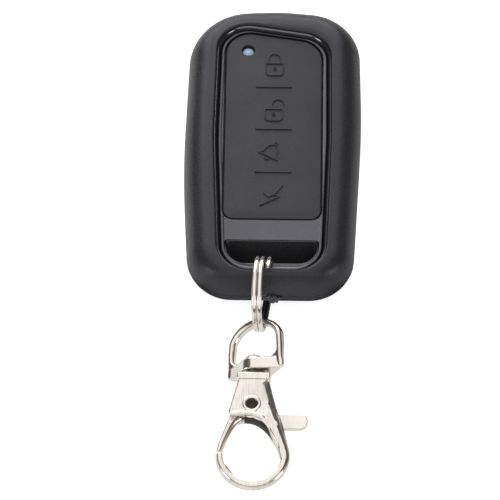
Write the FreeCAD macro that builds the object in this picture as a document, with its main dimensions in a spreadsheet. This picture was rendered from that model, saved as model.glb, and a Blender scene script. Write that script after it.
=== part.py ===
import FreeCAD, Part
import math
import os
import re
import Sketcher
from FreeCAD import Placement, Rotation, Vector

# Wireless remote control on a split ring and a swivel clasp, lying on its back.
# Origin: centre of the case's rear face. +X right, +Y towards the far end, +Z out of the keys.
doc = FreeCAD.newDocument("remote_control")

# Driving sizes in millimetres and degrees
SIZES = {
    # case
    "fob_length": 70.5,
    "fob_width": 36.8,
    "fob_thickness": 12.5,
    "seam_height": 5.8,
    "top_peak": 0.3,
    "top_shoulder": 1.45,
    "top_taper": 0.9,
    "end_taper": 2.1,
    "widest_at": 5.0,
    "peak_round": 45.0,
    "top_corner": 11.0,
    "side_round": 260.0,
    "end_corner": 7.5,
    "front_roll": 4.2,
    "rear_roll": 2.4,
    "rear_end_roll": 5.4,
    "seam_bevel": 0.2,
    "side_wall": 1.6,
    "roof_wall": 2.0,
    "floor_wall": 1.5,
    "tongue_wall": 0.7,
    "tongue_height": 1.0,
    "tongue_gap": 0.06,
    "tongue_root": 1.0,
    "cut_past": 1.0,
    "stub_rise": 0.4,
    "stub_height": 0.9,
    "stub_left": 0.5,
    "stub_right": 1.9,
    "stub_root": 0.5,
    "stub_reach": 0.35,
    "stub_slant": 0.1,
    "stub_taper": 0.2,
    # opening in the front shell
    "opening_rim": 6.45,
    "opening_lean": 0.5,
    "opening_end_lean": 1.35,
    "opening_top_left": 4.75,
    "opening_top_right": 8.8,
    "opening_end": 2.45,
    "opening_top_round": 6.5,
    "opening_side_round": 100.0,
    "opening_end_round": 6.5,
    # bezel
    "bezel_groove": 0.7,
    "bezel_drop": 1.25,
    "bezel_plate": 0.9,
    "bezel_flange": 0.5,
    "bezel_edge": 0.25,
    # lanyard slot
    "slot_from_end": 9.7,
    "slot_length": 5.7,
    "slot_side": 8.95,
    "slot_round": 0.6,
    "slot_end_round": 4.0,
    "slot_wall": 1.3,
    "ring_recess": 3.3,
    "slot_block_gap": 0.12,
    # keypad
    "key_side": 8.4,
    "key_end_from": 14.8,
    "key_top_left": 6.65,
    "key_top_right": 10.05,
    "key_left_round": 5.0,
    "key_right_round": 5.3,
    "key_end_round": 1.8,
    "key_first_from": 22.5,
    "key_share": 0.2217,
    "key_split_gap": 0.24,
    "key_side_gap": 0.3,
    "key_travel": 0.25,
    "key_lift": 0.3,
    "key_drop": 0.1,
    "nib_radius": 1.4,
    "nib_gap": 0.3,
    "web_thickness": 0.6,
    "web_margin": 1.2,
    "nib_reach": 0.45,
    # electronics
    "board_side": 4.0,
    "board_from_top": 7.25,
    "board_from_end": 16.25,
    "board_thickness": 0.8,
    "board_height": 5.2,
    "board_round": 5.0,
    "support_radius": 1.4,
    "support_inset": 2.0,
    "support_from_top": 5.0,
    "switch_side": 4.6,
    "switch_height": 1.5,
    "switch_floor": 0.4,
    "plunger_radius": 1.1,
    "plunger_gap": 0.05,
    "plunger_slack": 0.05,
    "lens_radius": 1.25,
    "lens_gap": 0.2,
    "lens_x": -5.25,
    "lens_from_top": 12.8,
    "lens_recess": 0.75,
    "well_wall": 0.25,
    "well_depth": 1.0,
    "led_length": 1.2,
    "led_width": 0.8,
    "led_height": 0.7,
    "chip_from_right": 7.4,
    "chip_from_top": 23.5,
    "chip_length": 3.9,
    "chip_width": 4.9,
    "chip_height": 1.5,
    "chip_standoff": 0.1,
    "pin_length": 1.0,
    "pin_width": 0.4,
    "pin_height": 0.5,
    "pin_pitch": 1.27,
    "saw_from_left": 2.0,
    "saw_from_top": 26.0,
    "saw_length": 5.0,
    "saw_width": 3.5,
    "saw_height": 1.3,
    "crystal_from_right": 6.5,
    "crystal_from_top": 14.0,
    "crystal_length": 3.2,
    "crystal_width": 5.0,
    "crystal_height": 1.1,
    "small_left": 4.0,
    "small_right": 6.0,
    "small_from_end": 3.0,
    "small_share": 0.045,
    "small_length": 1.6,
    "small_width": 0.8,
    "small_height": 0.5,
    "aerial_inset": 0.6,
    "aerial_span": 7.4,
    "aerial_from_top": 8.0,
    "aerial_length": 12.0,
    "aerial_round": 1.6,
    "aerial_section": 0.8,
    "cell_diameter": 20.0,
    "cell_thickness": 3.2,
    "cell_from_top": 29.25,
    "cell_clearance": 0.15,
    "cradle_wall": 0.9,
    "contact_half": 4.0,
    "strap_width": 5.0,
    "strap_side_gap": 0.4,
    "strap_end_gap": 0.35,
    "sheet_metal": 0.2,
    # screws
    "boss_radius": 1.65,
    "boss_side": 4.8,
    "boss_end_from": 13.7,
    "boss_top_from": 3.9,
    "boss_split": 6.3,
    "screw_radius": 0.85,
    "screw_head_radius": 1.6,
    "screw_head_height": 1.2,
    "screw_length": 8.0,
    "screw_sink": 0.3,
    "screw_clearance": 0.15,
    "pilot_end": 0.3,
    # split ring
    "ring_diameter": 15.4,
    "ring_wire": 0.92,
    "ring_pitch": 1.36,
    "ring_lean": 4.3,
    "ring_yaw": 3.4,
    "ring_x": -2.1,
    "ring_past_end": 0.55,
    "ring_table_gap": 0.03,
    # chain of eye and clasp
    "chain_x": -3.2,
    "chain_lift": 4.75,
    "chain_tilt": 5.0,
    "eye_roll": 30.0,
    "eye_ring_gap": 0.5,
    "eye_half": 6.1,
    "eye_wire": 1.35,
    "eye_depth": 2.0,
    "eye_length": 11.2,
    "eye_arch_round": 5.4,
    "eye_wire_flat": 0.1,
    "eye_loop_root": 0.5,
    "eye_base_half": 6.6,
    "eye_base_depth": 3.6,
    "eye_base_round": 4.0,
    "eye_tip_round": 0.5,
    "eye_base_height": 2.4,
    "eye_recess_radius": 2.8,
    "eye_recess_depth": 1.5,
    "post_radius": 0.95,
    "post_gap": 0.06,
    "post_head_radius": 1.9,
    "post_head_height": 1.2,
    "post_head_gap": 0.08,
    "post_head_flat": 0.2,
    "collar_gap": 1.65,
    "collar_half": 3.25,
    "collar_height": 1.35,
    "collar_round": 0.3,
    "collar_bite": 0.1,
    "body_half_top": 3.0,
    "body_half_low": 4.95,
    "body_length": 7.7,
    "body_depth": 4.2,
    "body_edge": 0.6,
    "body_corner": 1.0,
    "throat_x": 1.3,
    "throat_drop": 0.1,
    "throat_round": 3.5,
    "crook_x": 4.0,
    "crook_drop": 3.6,
    "crook_round": 4.0,
    "arm_x": 5.2,
    "arm_drop": 6.2,
    "arm_inset": 0.2,
    "bulge_out": 0.7,
    "bulge_drop": 0.9,
    "bulge_round": 12.0,
    "body_top_skew": 0.1,
    "cheek_wall": 0.95,
    "cavity_top": 2.5,
    "cavity_length": 7.9,
    "cavity_past": 3.0,
    "hook_radius": 5.85,
    "hook_wire": 1.3,
    "hook_depth": 2.4,
    "hook_edge": 0.45,
    "arm_bite": 0.05,
    "arm_lean": 1.5,
    "arm_top_drop": 3.2,
    "arm_inner_top": 1.7,
    "arm_inner_drop": 3.9,
    "hook_from_body": 15.7,
    "gate_pivot_from": 5.5,
    "pivot_left": 0.25,
    "rivet_radius": 1.45,
    "rivet_bore": 1.15,
    "rivet_gap": 0.05,
    "rivet_flange_radius": 1.8,
    "rivet_flange": 0.25,
    "gate_depth": 2.0,
    "gate_hub": 2.5,
    "gate_wire": 1.3,
    "gate_gap": 0.3,
    "hub_right": 1.6,
    "hub_left": 2.2,
    "hub_right_round": 1.6,
    "hub_left_round": 1.9,
    "back_x": 2.15,
    "back_drop": 0.3,
    "back_round": 6.0,
    "tip_inset": 0.1,
    "tip_slant": 0.6,
    "tip_outer_round": 0.3,
    "tip_inner_round": 0.4,
    "belly_x": 3.6,
    "belly_drop": 1.2,
    "belly_round": 2.5,
    "belly_hub_x": 1.2,
    "hub_low_round": 1.5,
    "neck_x": 2.6,
    "neck_drop": 0.3,
    "neck_end": 5.6,
    "neck_top_x": 2.4,
    "neck_top_drop": 0.6,
    "neck_top_round": 1.0,
    "tab_reach": 10.7,
    "tab_width": 3.4,
    "tab_drop": 2.9,
    "tab_root": 4.4,
    "tab_end_flat": 0.05,
    "tab_depth": 1.4,
    "spring_inner": 1.65,
    "spring_outer": 2.05,
    "spring_height": 0.7,
    "spring_side_gap": 0.15,
    "spring_floor_gap": 0.1,
}
sheet = doc.addObject("Spreadsheet::Sheet", "sizes")
for row, (alias, number) in enumerate(SIZES.items(), start=1):
    sheet.set(f"A{row}", alias)
    sheet.set(f"B{row}", str(number))
    sheet.setAlias(f"B{row}", alias)
doc.recompute()

# Levels and places that several pieces share, as expressions of the sheet
TOP = "fob_length / 2"
END = "-fob_length / 2"
ROOF = "(fob_thickness - roof_wall)"
DECK = "(fob_thickness - bezel_drop)"
PLATE = f"({ROOF} - bezel_plate)"
KEY_TOP = f"({DECK} - key_drop)"
KEY_FOOT = f"({PLATE} + key_lift)"
WEB_FOOT = f"({PLATE} - web_thickness)"
BOARD_TOP = "(board_height + board_thickness)"
SWITCH_TOP = f"({BOARD_TOP} + switch_height)"
NIB_FOOT = f"({SWITCH_TOP} + nib_reach)"
SLOT_TOP = f"({END} + slot_from_end)"
SLOT_END = f"({SLOT_TOP} - slot_length)"
KEY_END = f"({END} + key_end_from)"
LENS_Y = f"({TOP} - lens_from_top)"
OPENING_HALF = "(fob_width / 2 - opening_rim)"
SLOT_HALF = "(fob_width / 2 - slot_side)"
KEY_HALF = "(fob_width / 2 - key_side)"
KEY_PITCH = "((fob_length - key_top_left - key_end_from) * key_share)"
BOARD_HALF = "(fob_width / 2 - board_side)"
BOARD_FAR = f"({TOP} - board_from_top)"
BOARD_NEAR = f"({END} + board_from_end)"
BOSS_X = "(fob_width / 2 - boss_side)"
CELL_Y = f"({TOP} - cell_from_top)"

NODES = []


def bound(text):
    return re.sub(r"[a-z]+_\w+", lambda word: "sizes." + word.group(0), str(text))


def value(text):
    return float(sheet.evalExpression(bound(text)))


def bind(item, prop, text):
    item.setExpression(prop, bound(text))


def new_body(name):
    body = doc.addObject("PartDesign::Body", name)
    body.Label = name
    NODES.append(body)
    return body


def new_sketch(body, name, level="0", role="XY_Plane"):
    sketch = body.newObject("Sketcher::SketchObject", name)
    plane = [item for item in body.Origin.OriginFeatures if item.Role == role][0]
    sketch.AttachmentSupport = [(plane, "")]
    sketch.MapMode = "FlatFace"
    bind(sketch, "AttachmentOffset.Base.z", level)
    return sketch


def pin_point(sketch, geometry, position, x, y):
    for kind, text in (("DistanceX", x), ("DistanceY", y)):
        number = value(text)
        constraint = Sketcher.Constraint(kind, -1, 1, geometry, position, number)
        index = sketch.addConstraint(constraint)
        bind(sketch, f"Constraints[{index}]", text)


# A closed loop through corners given as (x, y, radius); radius None keeps the corner sharp
def add_loop(sketch, corners):
    count = len(corners)
    points = [Vector(value(x), value(y), 0) for x, y, radius in corners]
    radii = [None if radius is None else value(radius) for x, y, radius in corners]
    before = []
    after = []
    arcs = []
    for i in range(count):
        back = (points[i - 1] - points[i]).normalize()
        ahead = (points[(i + 1) % count] - points[i]).normalize()
        if radii[i] is None:
            before.append(points[i])
            after.append(points[i])
            arcs.append(None)
            continue
        half = back.getAngle(ahead) / 2
        reach = radii[i] / math.tan(half)
        middle = points[i] + (back + ahead).normalize() * (radii[i] / math.sin(half))
        before.append(points[i] + back * reach)
        after.append(points[i] + ahead * reach)
        turns_left = back.cross(ahead).z < 0
        first, last = (before[i], after[i]) if turns_left else (after[i], before[i])
        start_angle = math.atan2(first.y - middle.y, first.x - middle.x)
        end_angle = math.atan2(last.y - middle.y, last.x - middle.x)
        if end_angle < start_angle:
            end_angle += 2 * math.pi
        circle = Part.Circle(middle, Vector(0, 0, 1), radii[i])
        arcs.append((Part.ArcOfCircle(circle, start_angle, end_angle), turns_left))
    lines = [sketch.addGeometry(Part.LineSegment(after[i], before[(i + 1) % count])) for i in range(count)]
    for i in range(count):
        x, y, radius = corners[i]
        if arcs[i] is None:
            sketch.addConstraint(Sketcher.Constraint("Coincident", lines[i - 1], 2, lines[i], 1))
            pin_point(sketch, lines[i], 1, x, y)
            continue
        arc, turns_left = arcs[i]
        curve = sketch.addGeometry(arc)
        first, last = (1, 2) if turns_left else (2, 1)
        sketch.addConstraint(Sketcher.Constraint("Tangent", lines[i - 1], 2, curve, first))
        sketch.addConstraint(Sketcher.Constraint("Tangent", curve, last, lines[i], 1))
        index = sketch.addConstraint(Sketcher.Constraint("Radius", curve, radii[i]))
        bind(sketch, f"Constraints[{index}]", radius)
        corner = sketch.addGeometry(Part.Point(points[i]), True)
        sketch.addConstraint(Sketcher.Constraint("PointOnObject", corner, 1, lines[i - 1]))
        sketch.addConstraint(Sketcher.Constraint("PointOnObject", corner, 1, lines[i]))
        pin_point(sketch, corner, 1, x, y)


def add_circle(sketch, x, y, radius):
    circle = Part.Circle(Vector(value(x), value(y), 0), Vector(0, 0, 1), value(radius))
    index = sketch.addGeometry(circle)
    pin_point(sketch, index, 3, x, y)
    constraint = sketch.addConstraint(Sketcher.Constraint("Radius", index, value(radius)))
    bind(sketch, f"Constraints[{constraint}]", radius)


# Material is added or cut between two levels along the sketch plane's normal
def raise_from(body, name, sketch, length, kind="Pad", upward=True, symmetric=False):
    feature = body.newObject(f"PartDesign::{kind}", name)
    feature.Profile = sketch
    feature.Reversed = upward if kind == "Pocket" else not upward
    if symmetric:
        feature.SideType = "Symmetric"
    bind(feature, "Length", length)
    volume = body.Shape.Volume if body.Shape and not body.Shape.isNull() else 0
    doc.recompute()
    if kind == "Pocket" and not body.Shape.Volume < volume - 1e-4:
        raise ValueError(f"{name} cuts nothing")
    return feature


def round_edges(body, name, radius, chosen, kind="Fillet"):
    doc.recompute()
    tip = body.Tip
    edges = [f"Edge{i}" for i, edge in enumerate(tip.Shape.Edges, start=1) if chosen(edge)]
    feature = body.newObject(f"PartDesign::{kind}", name)
    feature.Base = (tip, edges)
    bind(feature, "Radius" if kind == "Fillet" else "Size", radius)
    doc.recompute()
    return feature


def at_level(text):
    level = value(text)
    return lambda edge: abs(edge.BoundBox.ZMin - level) < 1e-4 and abs(edge.BoundBox.ZMax - level) < 1e-4


def box(name, x, y, z, length, width, height):
    item = doc.addObject("Part::Box", name)
    for prop, text in (("Length", length), ("Width", width), ("Height", height)):
        bind(item, prop, text)
    place(item, x, y, z)
    return item


def cylinder(name, x, y, z, radius, height):
    item = doc.addObject("Part::Cylinder", name)
    bind(item, "Radius", radius)
    bind(item, "Height", height)
    place(item, x, y, z)
    return item


def place(item, x, y, z):
    for axis, text in (("x", x), ("y", y), ("z", z)):
        bind(item, f"Placement.Base.{axis}", text)


def cut(name, base, tool):
    item = doc.addObject("Part::Cut", name)
    item.Base = base
    item.Tool = tool
    return item


def fuse(name, items):
    item = doc.addObject("Part::MultiFuse", name)
    item.Shapes = items
    return item


def node(item, label):
    item.Label = label
    NODES.append(item)
    return item


# Case

def case_corners(inset):
    half = f"(fob_width / 2 - {inset})"
    shoulder = f"{TOP} - top_shoulder - {inset}"
    foot = f"{END} + {inset}"
    return [
        ("0", f"{TOP} + top_peak - {inset}", "peak_round"),
        (f"-({half} - top_taper)", shoulder, f"top_corner - {inset}"),
        (f"-{half}", "widest_at", "side_round"),
        (f"-({half} - end_taper)", foot, f"end_corner - {inset}"),
        (f"{half} - end_taper", foot, f"end_corner - {inset}"),
        (half, "widest_at", "side_round"),
        (f"{half} - top_taper", shoulder, f"top_corner - {inset}"),
    ]


def opening_corners(inset, end_inset):
    half = f"({OPENING_HALF} - {inset})"
    foot = f"{END} + opening_end + {end_inset}"
    return [
        (f"-({half} - opening_lean)", f"{TOP} - opening_top_left - {inset}", f"opening_top_round - {inset}"),
        (f"-{half}", "0", "opening_side_round"),
        (f"-({half} - opening_end_lean)", foot, f"opening_end_round - {inset}"),
        (f"{half} - opening_end_lean", foot, f"opening_end_round - {inset}"),
        (half, "0", "opening_side_round"),
        (half, f"{TOP} - opening_top_right - {inset}", f"opening_top_round - {inset}"),
    ]


def slot_corners(grow="0"):
    upper = f"{SLOT_TOP} + {grow}"
    lower = f"{SLOT_END} - {grow}"
    half = f"({SLOT_HALF} + {grow})"
    return [
        (f"-{half}", upper, "slot_round"),
        (f"-{half}", lower, "slot_end_round"),
        (half, lower, "slot_end_round"),
        (half, upper, "slot_round"),
    ]


def boss_centres():
    low = f"{END} + boss_end_from"
    return [(f"-{BOSS_X}", low), (BOSS_X, low), ("0", f"{TOP} - boss_top_from")]


front = new_body("front_shell")
profile = new_sketch(front, "front_outline", "seam_height")
add_loop(profile, case_corners("0"))
raise_from(front, "front_block", profile, "fob_thickness - seam_height")
round_edges(front, "front_rolled_edge", "front_roll", at_level("fob_thickness"))
round_edges(front, "front_seam_bevel", "seam_bevel", at_level("seam_height"), "Chamfer")
profile = new_sketch(front, "front_cavity_outline", "seam_height")
add_loop(profile, case_corners("side_wall"))
raise_from(front, "front_cavity", profile, f"{ROOF} - seam_height", "Pocket")
profile = new_sketch(front, "front_rebate_outline", "seam_height")
add_loop(profile, case_corners("(side_wall - tongue_wall - tongue_gap)"))
raise_from(front, "front_rebate", profile, "tongue_height + tongue_gap", "Pocket")
profile = new_sketch(front, "front_opening_outline", ROOF)
add_loop(profile, opening_corners("0", "0"))
raise_from(front, "front_opening", profile, "roof_wall", "Pocket")
profile = new_sketch(front, "front_boss_outline", "boss_split")
for x, y in boss_centres():
    add_circle(profile, x, y, "boss_radius")
raise_from(front, "front_bosses", profile, f"{ROOF} + roof_wall / 4 - boss_split")
profile = new_sketch(front, "front_pilot_outline", "boss_split")
for x, y in boss_centres():
    add_circle(profile, x, y, "screw_radius")
raise_from(front, "front_pilots", profile, f"{ROOF} - boss_split - pilot_end", "Pocket")
# torn moulding gate on the rim beside the seam
profile = new_sketch(front, "front_gate_stub_outline", "seam_height + stub_rise")
add_loop(profile, [
    ("-stub_left", f"{END} + stub_root", None),
    ("-stub_left + stub_taper", f"{END} - stub_reach", None),
    ("stub_right - stub_taper", f"{END} - stub_reach + stub_slant", None),
    ("stub_right", f"{END} + stub_root", None),
])
raise_from(front, "front_gate_stub", profile, "stub_height")

rear = new_body("rear_shell")
profile = new_sketch(rear, "rear_outline")
add_loop(profile, case_corners("0"))
raise_from(rear, "rear_block", profile, "seam_height")
round_edges(rear, "rear_rolled_edge", "rear_roll", at_level("0"))
round_edges(rear, "rear_seam_bevel", "seam_bevel", at_level("seam_height"), "Chamfer")
profile = new_sketch(rear, "rear_cavity_outline", "floor_wall")
add_loop(profile, case_corners("side_wall"))
raise_from(rear, "rear_cavity", profile, "seam_height - floor_wall", "Pocket")
profile = new_sketch(rear, "rear_boss_outline", "floor_wall / 2")
for x, y in boss_centres():
    add_circle(profile, x, y, "boss_radius")
raise_from(rear, "rear_bosses", profile, "boss_split - floor_wall / 2")
profile = new_sketch(rear, "rear_screw_hole_outline")
for x, y in boss_centres():
    add_circle(profile, x, y, "screw_radius + screw_clearance")
raise_from(rear, "rear_screw_holes", profile, "boss_split + cut_past", "Pocket")
profile = new_sketch(rear, "rear_screw_seat_outline")
for x, y in boss_centres():
    add_circle(profile, x, y, "screw_head_radius + screw_clearance")
raise_from(rear, "rear_screw_seats", profile, "screw_sink + screw_head_height", "Pocket")
profile = new_sketch(rear, "rear_tongue_outline", "seam_height - tongue_root")
add_loop(profile, case_corners("(side_wall - tongue_wall)"))
add_loop(profile, case_corners("side_wall"))
raise_from(rear, "rear_tongue", profile, "tongue_root + tongue_height")
profile = new_sketch(rear, "rear_slot_block_outline", "floor_wall / 2")
BLOCK_HALF = "(fob_width / 2 - end_taper - side_wall - slot_block_gap)"
add_loop(profile, [
    (f"-{BLOCK_HALF}", f"{SLOT_TOP} + slot_wall", None),
    (f"-{BLOCK_HALF}", f"{END} + side_wall + slot_block_gap", "end_corner - side_wall"),
    (BLOCK_HALF, f"{END} + side_wall + slot_block_gap", "end_corner - side_wall"),
    (BLOCK_HALF, f"{SLOT_TOP} + slot_wall", None),
])
raise_from(rear, "rear_slot_block", profile, f"{PLATE} - floor_wall / 2")
profile = new_sketch(rear, "rear_slot_outline")
add_loop(profile, slot_corners())
raise_from(rear, "rear_slot", profile, PLATE, "Pocket")
profile = new_sketch(rear, "rear_ring_recess_outline")
add_loop(profile, [
    (f"-{SLOT_HALF}", f"{SLOT_END} + slot_end_round", None),
    (f"-{SLOT_HALF}", f"{END} - cut_past", None),
    (SLOT_HALF, f"{END} - cut_past", None),
    (SLOT_HALF, f"{SLOT_END} + slot_end_round", None),
])
raise_from(rear, "rear_ring_recess", profile, "ring_recess", "Pocket")
# the end rolls under further than the sides
profile = new_sketch(rear, "rear_end_roll_outline", "0", "YZ_Plane")
add_loop(profile, [
    (f"{END} - cut_past", "-cut_past", None),
    (f"{END} + rear_end_roll + cut_past", "-cut_past", None),
    (f"{END} + rear_end_roll + cut_past", "0", None),
    (END, "0", "rear_end_roll"),
    (END, "rear_end_roll + seam_bevel", None),
    (f"{END} - cut_past", "rear_end_roll + seam_bevel", None),
])
raise_from(rear, "rear_end_roll_cut", profile, "fob_width", "Pocket", symmetric=True)
profile = new_sketch(rear, "rear_board_post_outline", "floor_wall / 2")
for x in (f"-({BOARD_HALF} - support_inset)", f"{BOARD_HALF} - support_inset"):
    for y in (f"{BOARD_FAR} - support_from_top", f"{BOARD_NEAR} + support_inset"):
        add_circle(profile, x, y, "support_radius")
raise_from(rear, "rear_board_posts", profile, "board_height - floor_wall / 2")
profile = new_sketch(rear, "rear_cell_cradle_outline", "floor_wall / 2")
add_circle(profile, "0", CELL_Y, "cell_diameter / 2 + cell_clearance + cradle_wall")
add_circle(profile, "0", CELL_Y, "cell_diameter / 2 + cell_clearance")
raise_from(rear, "rear_cell_cradle", profile, "floor_wall / 2 + cell_thickness / 2")
profile = new_sketch(rear, "rear_cradle_gap_outline", "floor_wall")
CRADLE_END = f"{CELL_Y} + cell_diameter / 2 + cell_clearance + cradle_wall + cut_past"
CRADLE_FOOT = f"{CELL_Y} - cell_diameter / 2 - cell_clearance - cradle_wall - cut_past"
STRAP_GAP = "(strap_width / 2 + strap_side_gap)"
add_loop(profile, [
    (f"-{STRAP_GAP}", CRADLE_END, None),
    (f"-{STRAP_GAP}", CRADLE_FOOT, None),
    (STRAP_GAP, CRADLE_FOOT, None),
    (STRAP_GAP, CRADLE_END, None),
])
raise_from(rear, "rear_cradle_gap", profile, "cell_thickness", "Pocket")

# Bezel insert round the keys and the lanyard slot
bezel = new_body("center_bezel")
profile = new_sketch(bezel, "bezel_flange_outline", PLATE)
add_loop(profile, opening_corners("-bezel_flange", "-bezel_flange"))
raise_from(bezel, "bezel_flange", profile, "bezel_plate")
profile = new_sketch(bezel, "bezel_rim_outline", PLATE)
add_loop(profile, opening_corners("bezel_groove", "bezel_groove"))
raise_from(bezel, "bezel_rim", profile, f"{DECK} - {PLATE}")
round_edges(bezel, "bezel_rim_edge", "bezel_edge", at_level(DECK))


def keypad_corners(grow):
    half = f"({KEY_HALF} + {grow})"
    return [
        (f"-{half}", f"{TOP} - key_top_left + {grow}", f"key_left_round + {grow}"),
        (f"-{half}", f"{KEY_END} - {grow}", f"key_end_round + {grow}"),
        (half, f"{KEY_END} - {grow}", f"key_end_round + {grow}"),
        (half, f"{TOP} - key_top_right + {grow}", f"key_right_round + {grow}"),
    ]


profile = new_sketch(bezel, "bezel_key_window_outline", PLATE)
add_loop(profile, keypad_corners("key_side_gap"))
raise_from(bezel, "bezel_key_window", profile, f"{DECK} - {PLATE}", "Pocket")
profile = new_sketch(bezel, "bezel_slot_outline", PLATE)
add_loop(profile, slot_corners())
raise_from(bezel, "bezel_slot", profile, f"{DECK} - {PLATE}", "Pocket")

# Keys: four press zones, divided across the pad
KEY_NAMES = ["key_lock", "key_unlock", "key_bell", "key_flash"]


def key_split(index):
    return f"({TOP} - key_first_from - {index} * {KEY_PITCH})"


def key_centre(index):
    if index == 0:
        return f"(({TOP} - key_top_left + {key_split(0)}) / 2)"
    if index == 3:
        return f"(({key_split(2)} + {KEY_END}) / 2)"
    return f"({key_split(index - 1)} - {KEY_PITCH} / 2)"


for index, name in enumerate(KEY_NAMES):
    key = new_body(name)
    upper = f"{key_split(index - 1)} - key_split_gap / 2"
    lower = f"{key_split(index)} + key_split_gap / 2"
    outline = [
        (f"-{KEY_HALF}", upper, None),
        (f"-{KEY_HALF}", lower, None),
        (KEY_HALF, lower, None),
        (KEY_HALF, upper, None),
    ]
    if index == 0:
        outline[0] = (f"-{KEY_HALF}", f"{TOP} - key_top_left", "key_left_round")
        outline[3] = (KEY_HALF, f"{TOP} - key_top_right", "key_right_round")
    if index == 3:
        outline[1] = (f"-{KEY_HALF}", KEY_END, "key_end_round")
        outline[2] = (KEY_HALF, KEY_END, "key_end_round")
    profile = new_sketch(key, name + "_outline", KEY_FOOT)
    add_loop(profile, outline)
    if index == 0:
        add_circle(profile, "lens_x", LENS_Y, "lens_radius + lens_gap")
    raise_from(key, name + "_pad", profile, f"{KEY_TOP} - {KEY_FOOT}")
    profile = new_sketch(key, name + "_nib_outline", NIB_FOOT)
    add_circle(profile, "0", key_centre(index), "nib_radius")
    raise_from(key, name + "_nib", profile, f"{KEY_FOOT} - {NIB_FOOT}")

web = new_body("keypad_web")
profile = new_sketch(web, "web_outline", WEB_FOOT)
add_loop(profile, keypad_corners("web_margin"))
for index in range(len(KEY_NAMES)):
    add_circle(profile, "0", key_centre(index), "nib_radius + nib_gap")
add_circle(profile, "lens_x", LENS_Y, "lens_radius + lens_gap")
raise_from(web, "web_sheet", profile, "web_thickness")

# Electronics
board = new_body("circuit_board")
profile = new_sketch(board, "board_outline", "board_height")
add_loop(profile, [
    (f"-{BOARD_HALF}", BOARD_FAR, "board_round"),
    (f"-{BOARD_HALF}", BOARD_NEAR, "board_round / 2"),
    (BOARD_HALF, BOARD_NEAR, "board_round / 2"),
    (BOARD_HALF, BOARD_FAR, "board_round"),
])
raise_from(board, "board_sheet", profile, "board_thickness")

for index in range(len(KEY_NAMES)):
    y = key_centre(index)
    name = f"switch_{index + 1}"
    case = box(name + "_case", "-switch_side / 2", f"{y} - switch_side / 2", BOARD_TOP,
               "switch_side", "switch_side", "switch_height")
    bore = cylinder(name + "_bore", "0", y, f"{BOARD_TOP} + switch_floor",
                    "plunger_radius + plunger_gap", "switch_height")
    node(cut(name + "_body", case, bore), f"switch_body_{index + 1}")
    stem = cylinder(name + "_stem", "0", y, f"{BOARD_TOP} + switch_floor + key_travel + plunger_slack",
                    "plunger_radius",
                    f"{NIB_FOOT} - {BOARD_TOP} - switch_floor - key_travel - 2 * plunger_slack")
    node(stem, f"switch_plunger_{index + 1}")

pipe = cylinder("lens_pipe", "lens_x", LENS_Y, BOARD_TOP, "lens_radius",
                f"{KEY_TOP} - lens_recess - {BOARD_TOP}")
well = cylinder("lens_well", "lens_x", LENS_Y, f"{BOARD_TOP} - well_wall",
                "lens_radius - well_wall", "well_wall + well_depth")
node(cut("lens_body", pipe, well), "led_lens")
led = box("led_chip", "lens_x - led_length / 2", f"{LENS_Y} - led_width / 2", BOARD_TOP,
          "led_length", "led_width", "led_height")
node(led, "status_led")

CHIP_X = f"{BOARD_HALF} - chip_from_right"
CHIP_Y = f"({BOARD_FAR} - chip_from_top)"
pins = [box("chip_package", CHIP_X, CHIP_Y, f"{BOARD_TOP} + chip_standoff",
            "chip_length", "chip_width", "chip_height")]
PINS = 4
for side, x in (("left", f"{CHIP_X} - pin_length"), ("right", f"{CHIP_X} + chip_length")):
    for row in range(PINS):
        pin_y = f"{CHIP_Y} + pin_width + {row} * pin_pitch"
        pins.append(box(f"chip_pin_{side}_{row}", x, pin_y, BOARD_TOP,
                        "pin_length", "pin_width", "pin_height"))
node(fuse("chip_with_pins", pins), "encoder_chip")
saw = box("saw_package", f"-({BOARD_HALF} - saw_from_left)", f"{BOARD_FAR} - saw_from_top", BOARD_TOP,
          "saw_length", "saw_width", "saw_height")
node(saw, "saw_resonator")
CRYSTAL_X = f"{BOARD_HALF} - crystal_from_right"
CRYSTAL_Y = f"{BOARD_FAR} - crystal_from_top"
quartz = box("crystal_package", CRYSTAL_X, CRYSTAL_Y, BOARD_TOP,
             "crystal_length", "crystal_width", "crystal_height")
node(quartz, "crystal")
small_parts = []
SMALL_ROWS = 6
SMALL_PITCH = f"(({BOARD_FAR} - {BOARD_NEAR}) * small_share)"
for row in range(SMALL_ROWS):
    y = f"{BOARD_NEAR} + small_from_end + {row} * {SMALL_PITCH}"
    for side, x in (("left", f"-({BOARD_HALF} - small_left)"), ("right", f"{BOARD_HALF} - small_right")):
        small_parts.append(box(f"part_{side}_{row}", x, y, BOARD_TOP,
                               "small_length", "small_width", "small_height"))
chips = doc.addObject("Part::Compound", "small_parts")
chips.Links = small_parts
node(chips, "chip_components")

# Wire antenna: a flat loop standing along the board's left edge
aerial = new_body("loop_antenna")
profile = new_sketch(aerial, "aerial_outline", BOARD_TOP)
LOOP_LEFT = f"-({BOARD_HALF} - aerial_inset)"
LOOP_LOW = f"{BOARD_FAR} - aerial_from_top - aerial_length"
for inset in ("0", "aerial_section"):
    right = f"{LOOP_LEFT} + aerial_span - {inset}"
    upper = f"{BOARD_FAR} - aerial_from_top - {inset}"
    add_loop(profile, [
        (f"{LOOP_LEFT} + {inset}", upper, f"aerial_round - {inset}"),
        (f"{LOOP_LEFT} + {inset}", f"{LOOP_LOW} + {inset}", f"aerial_round - {inset}"),
        (right, f"{LOOP_LOW} + {inset}", f"aerial_round - {inset}"),
        (right, upper, f"aerial_round - {inset}"),
    ])
raise_from(aerial, "aerial_wire", profile, "aerial_section")

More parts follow.
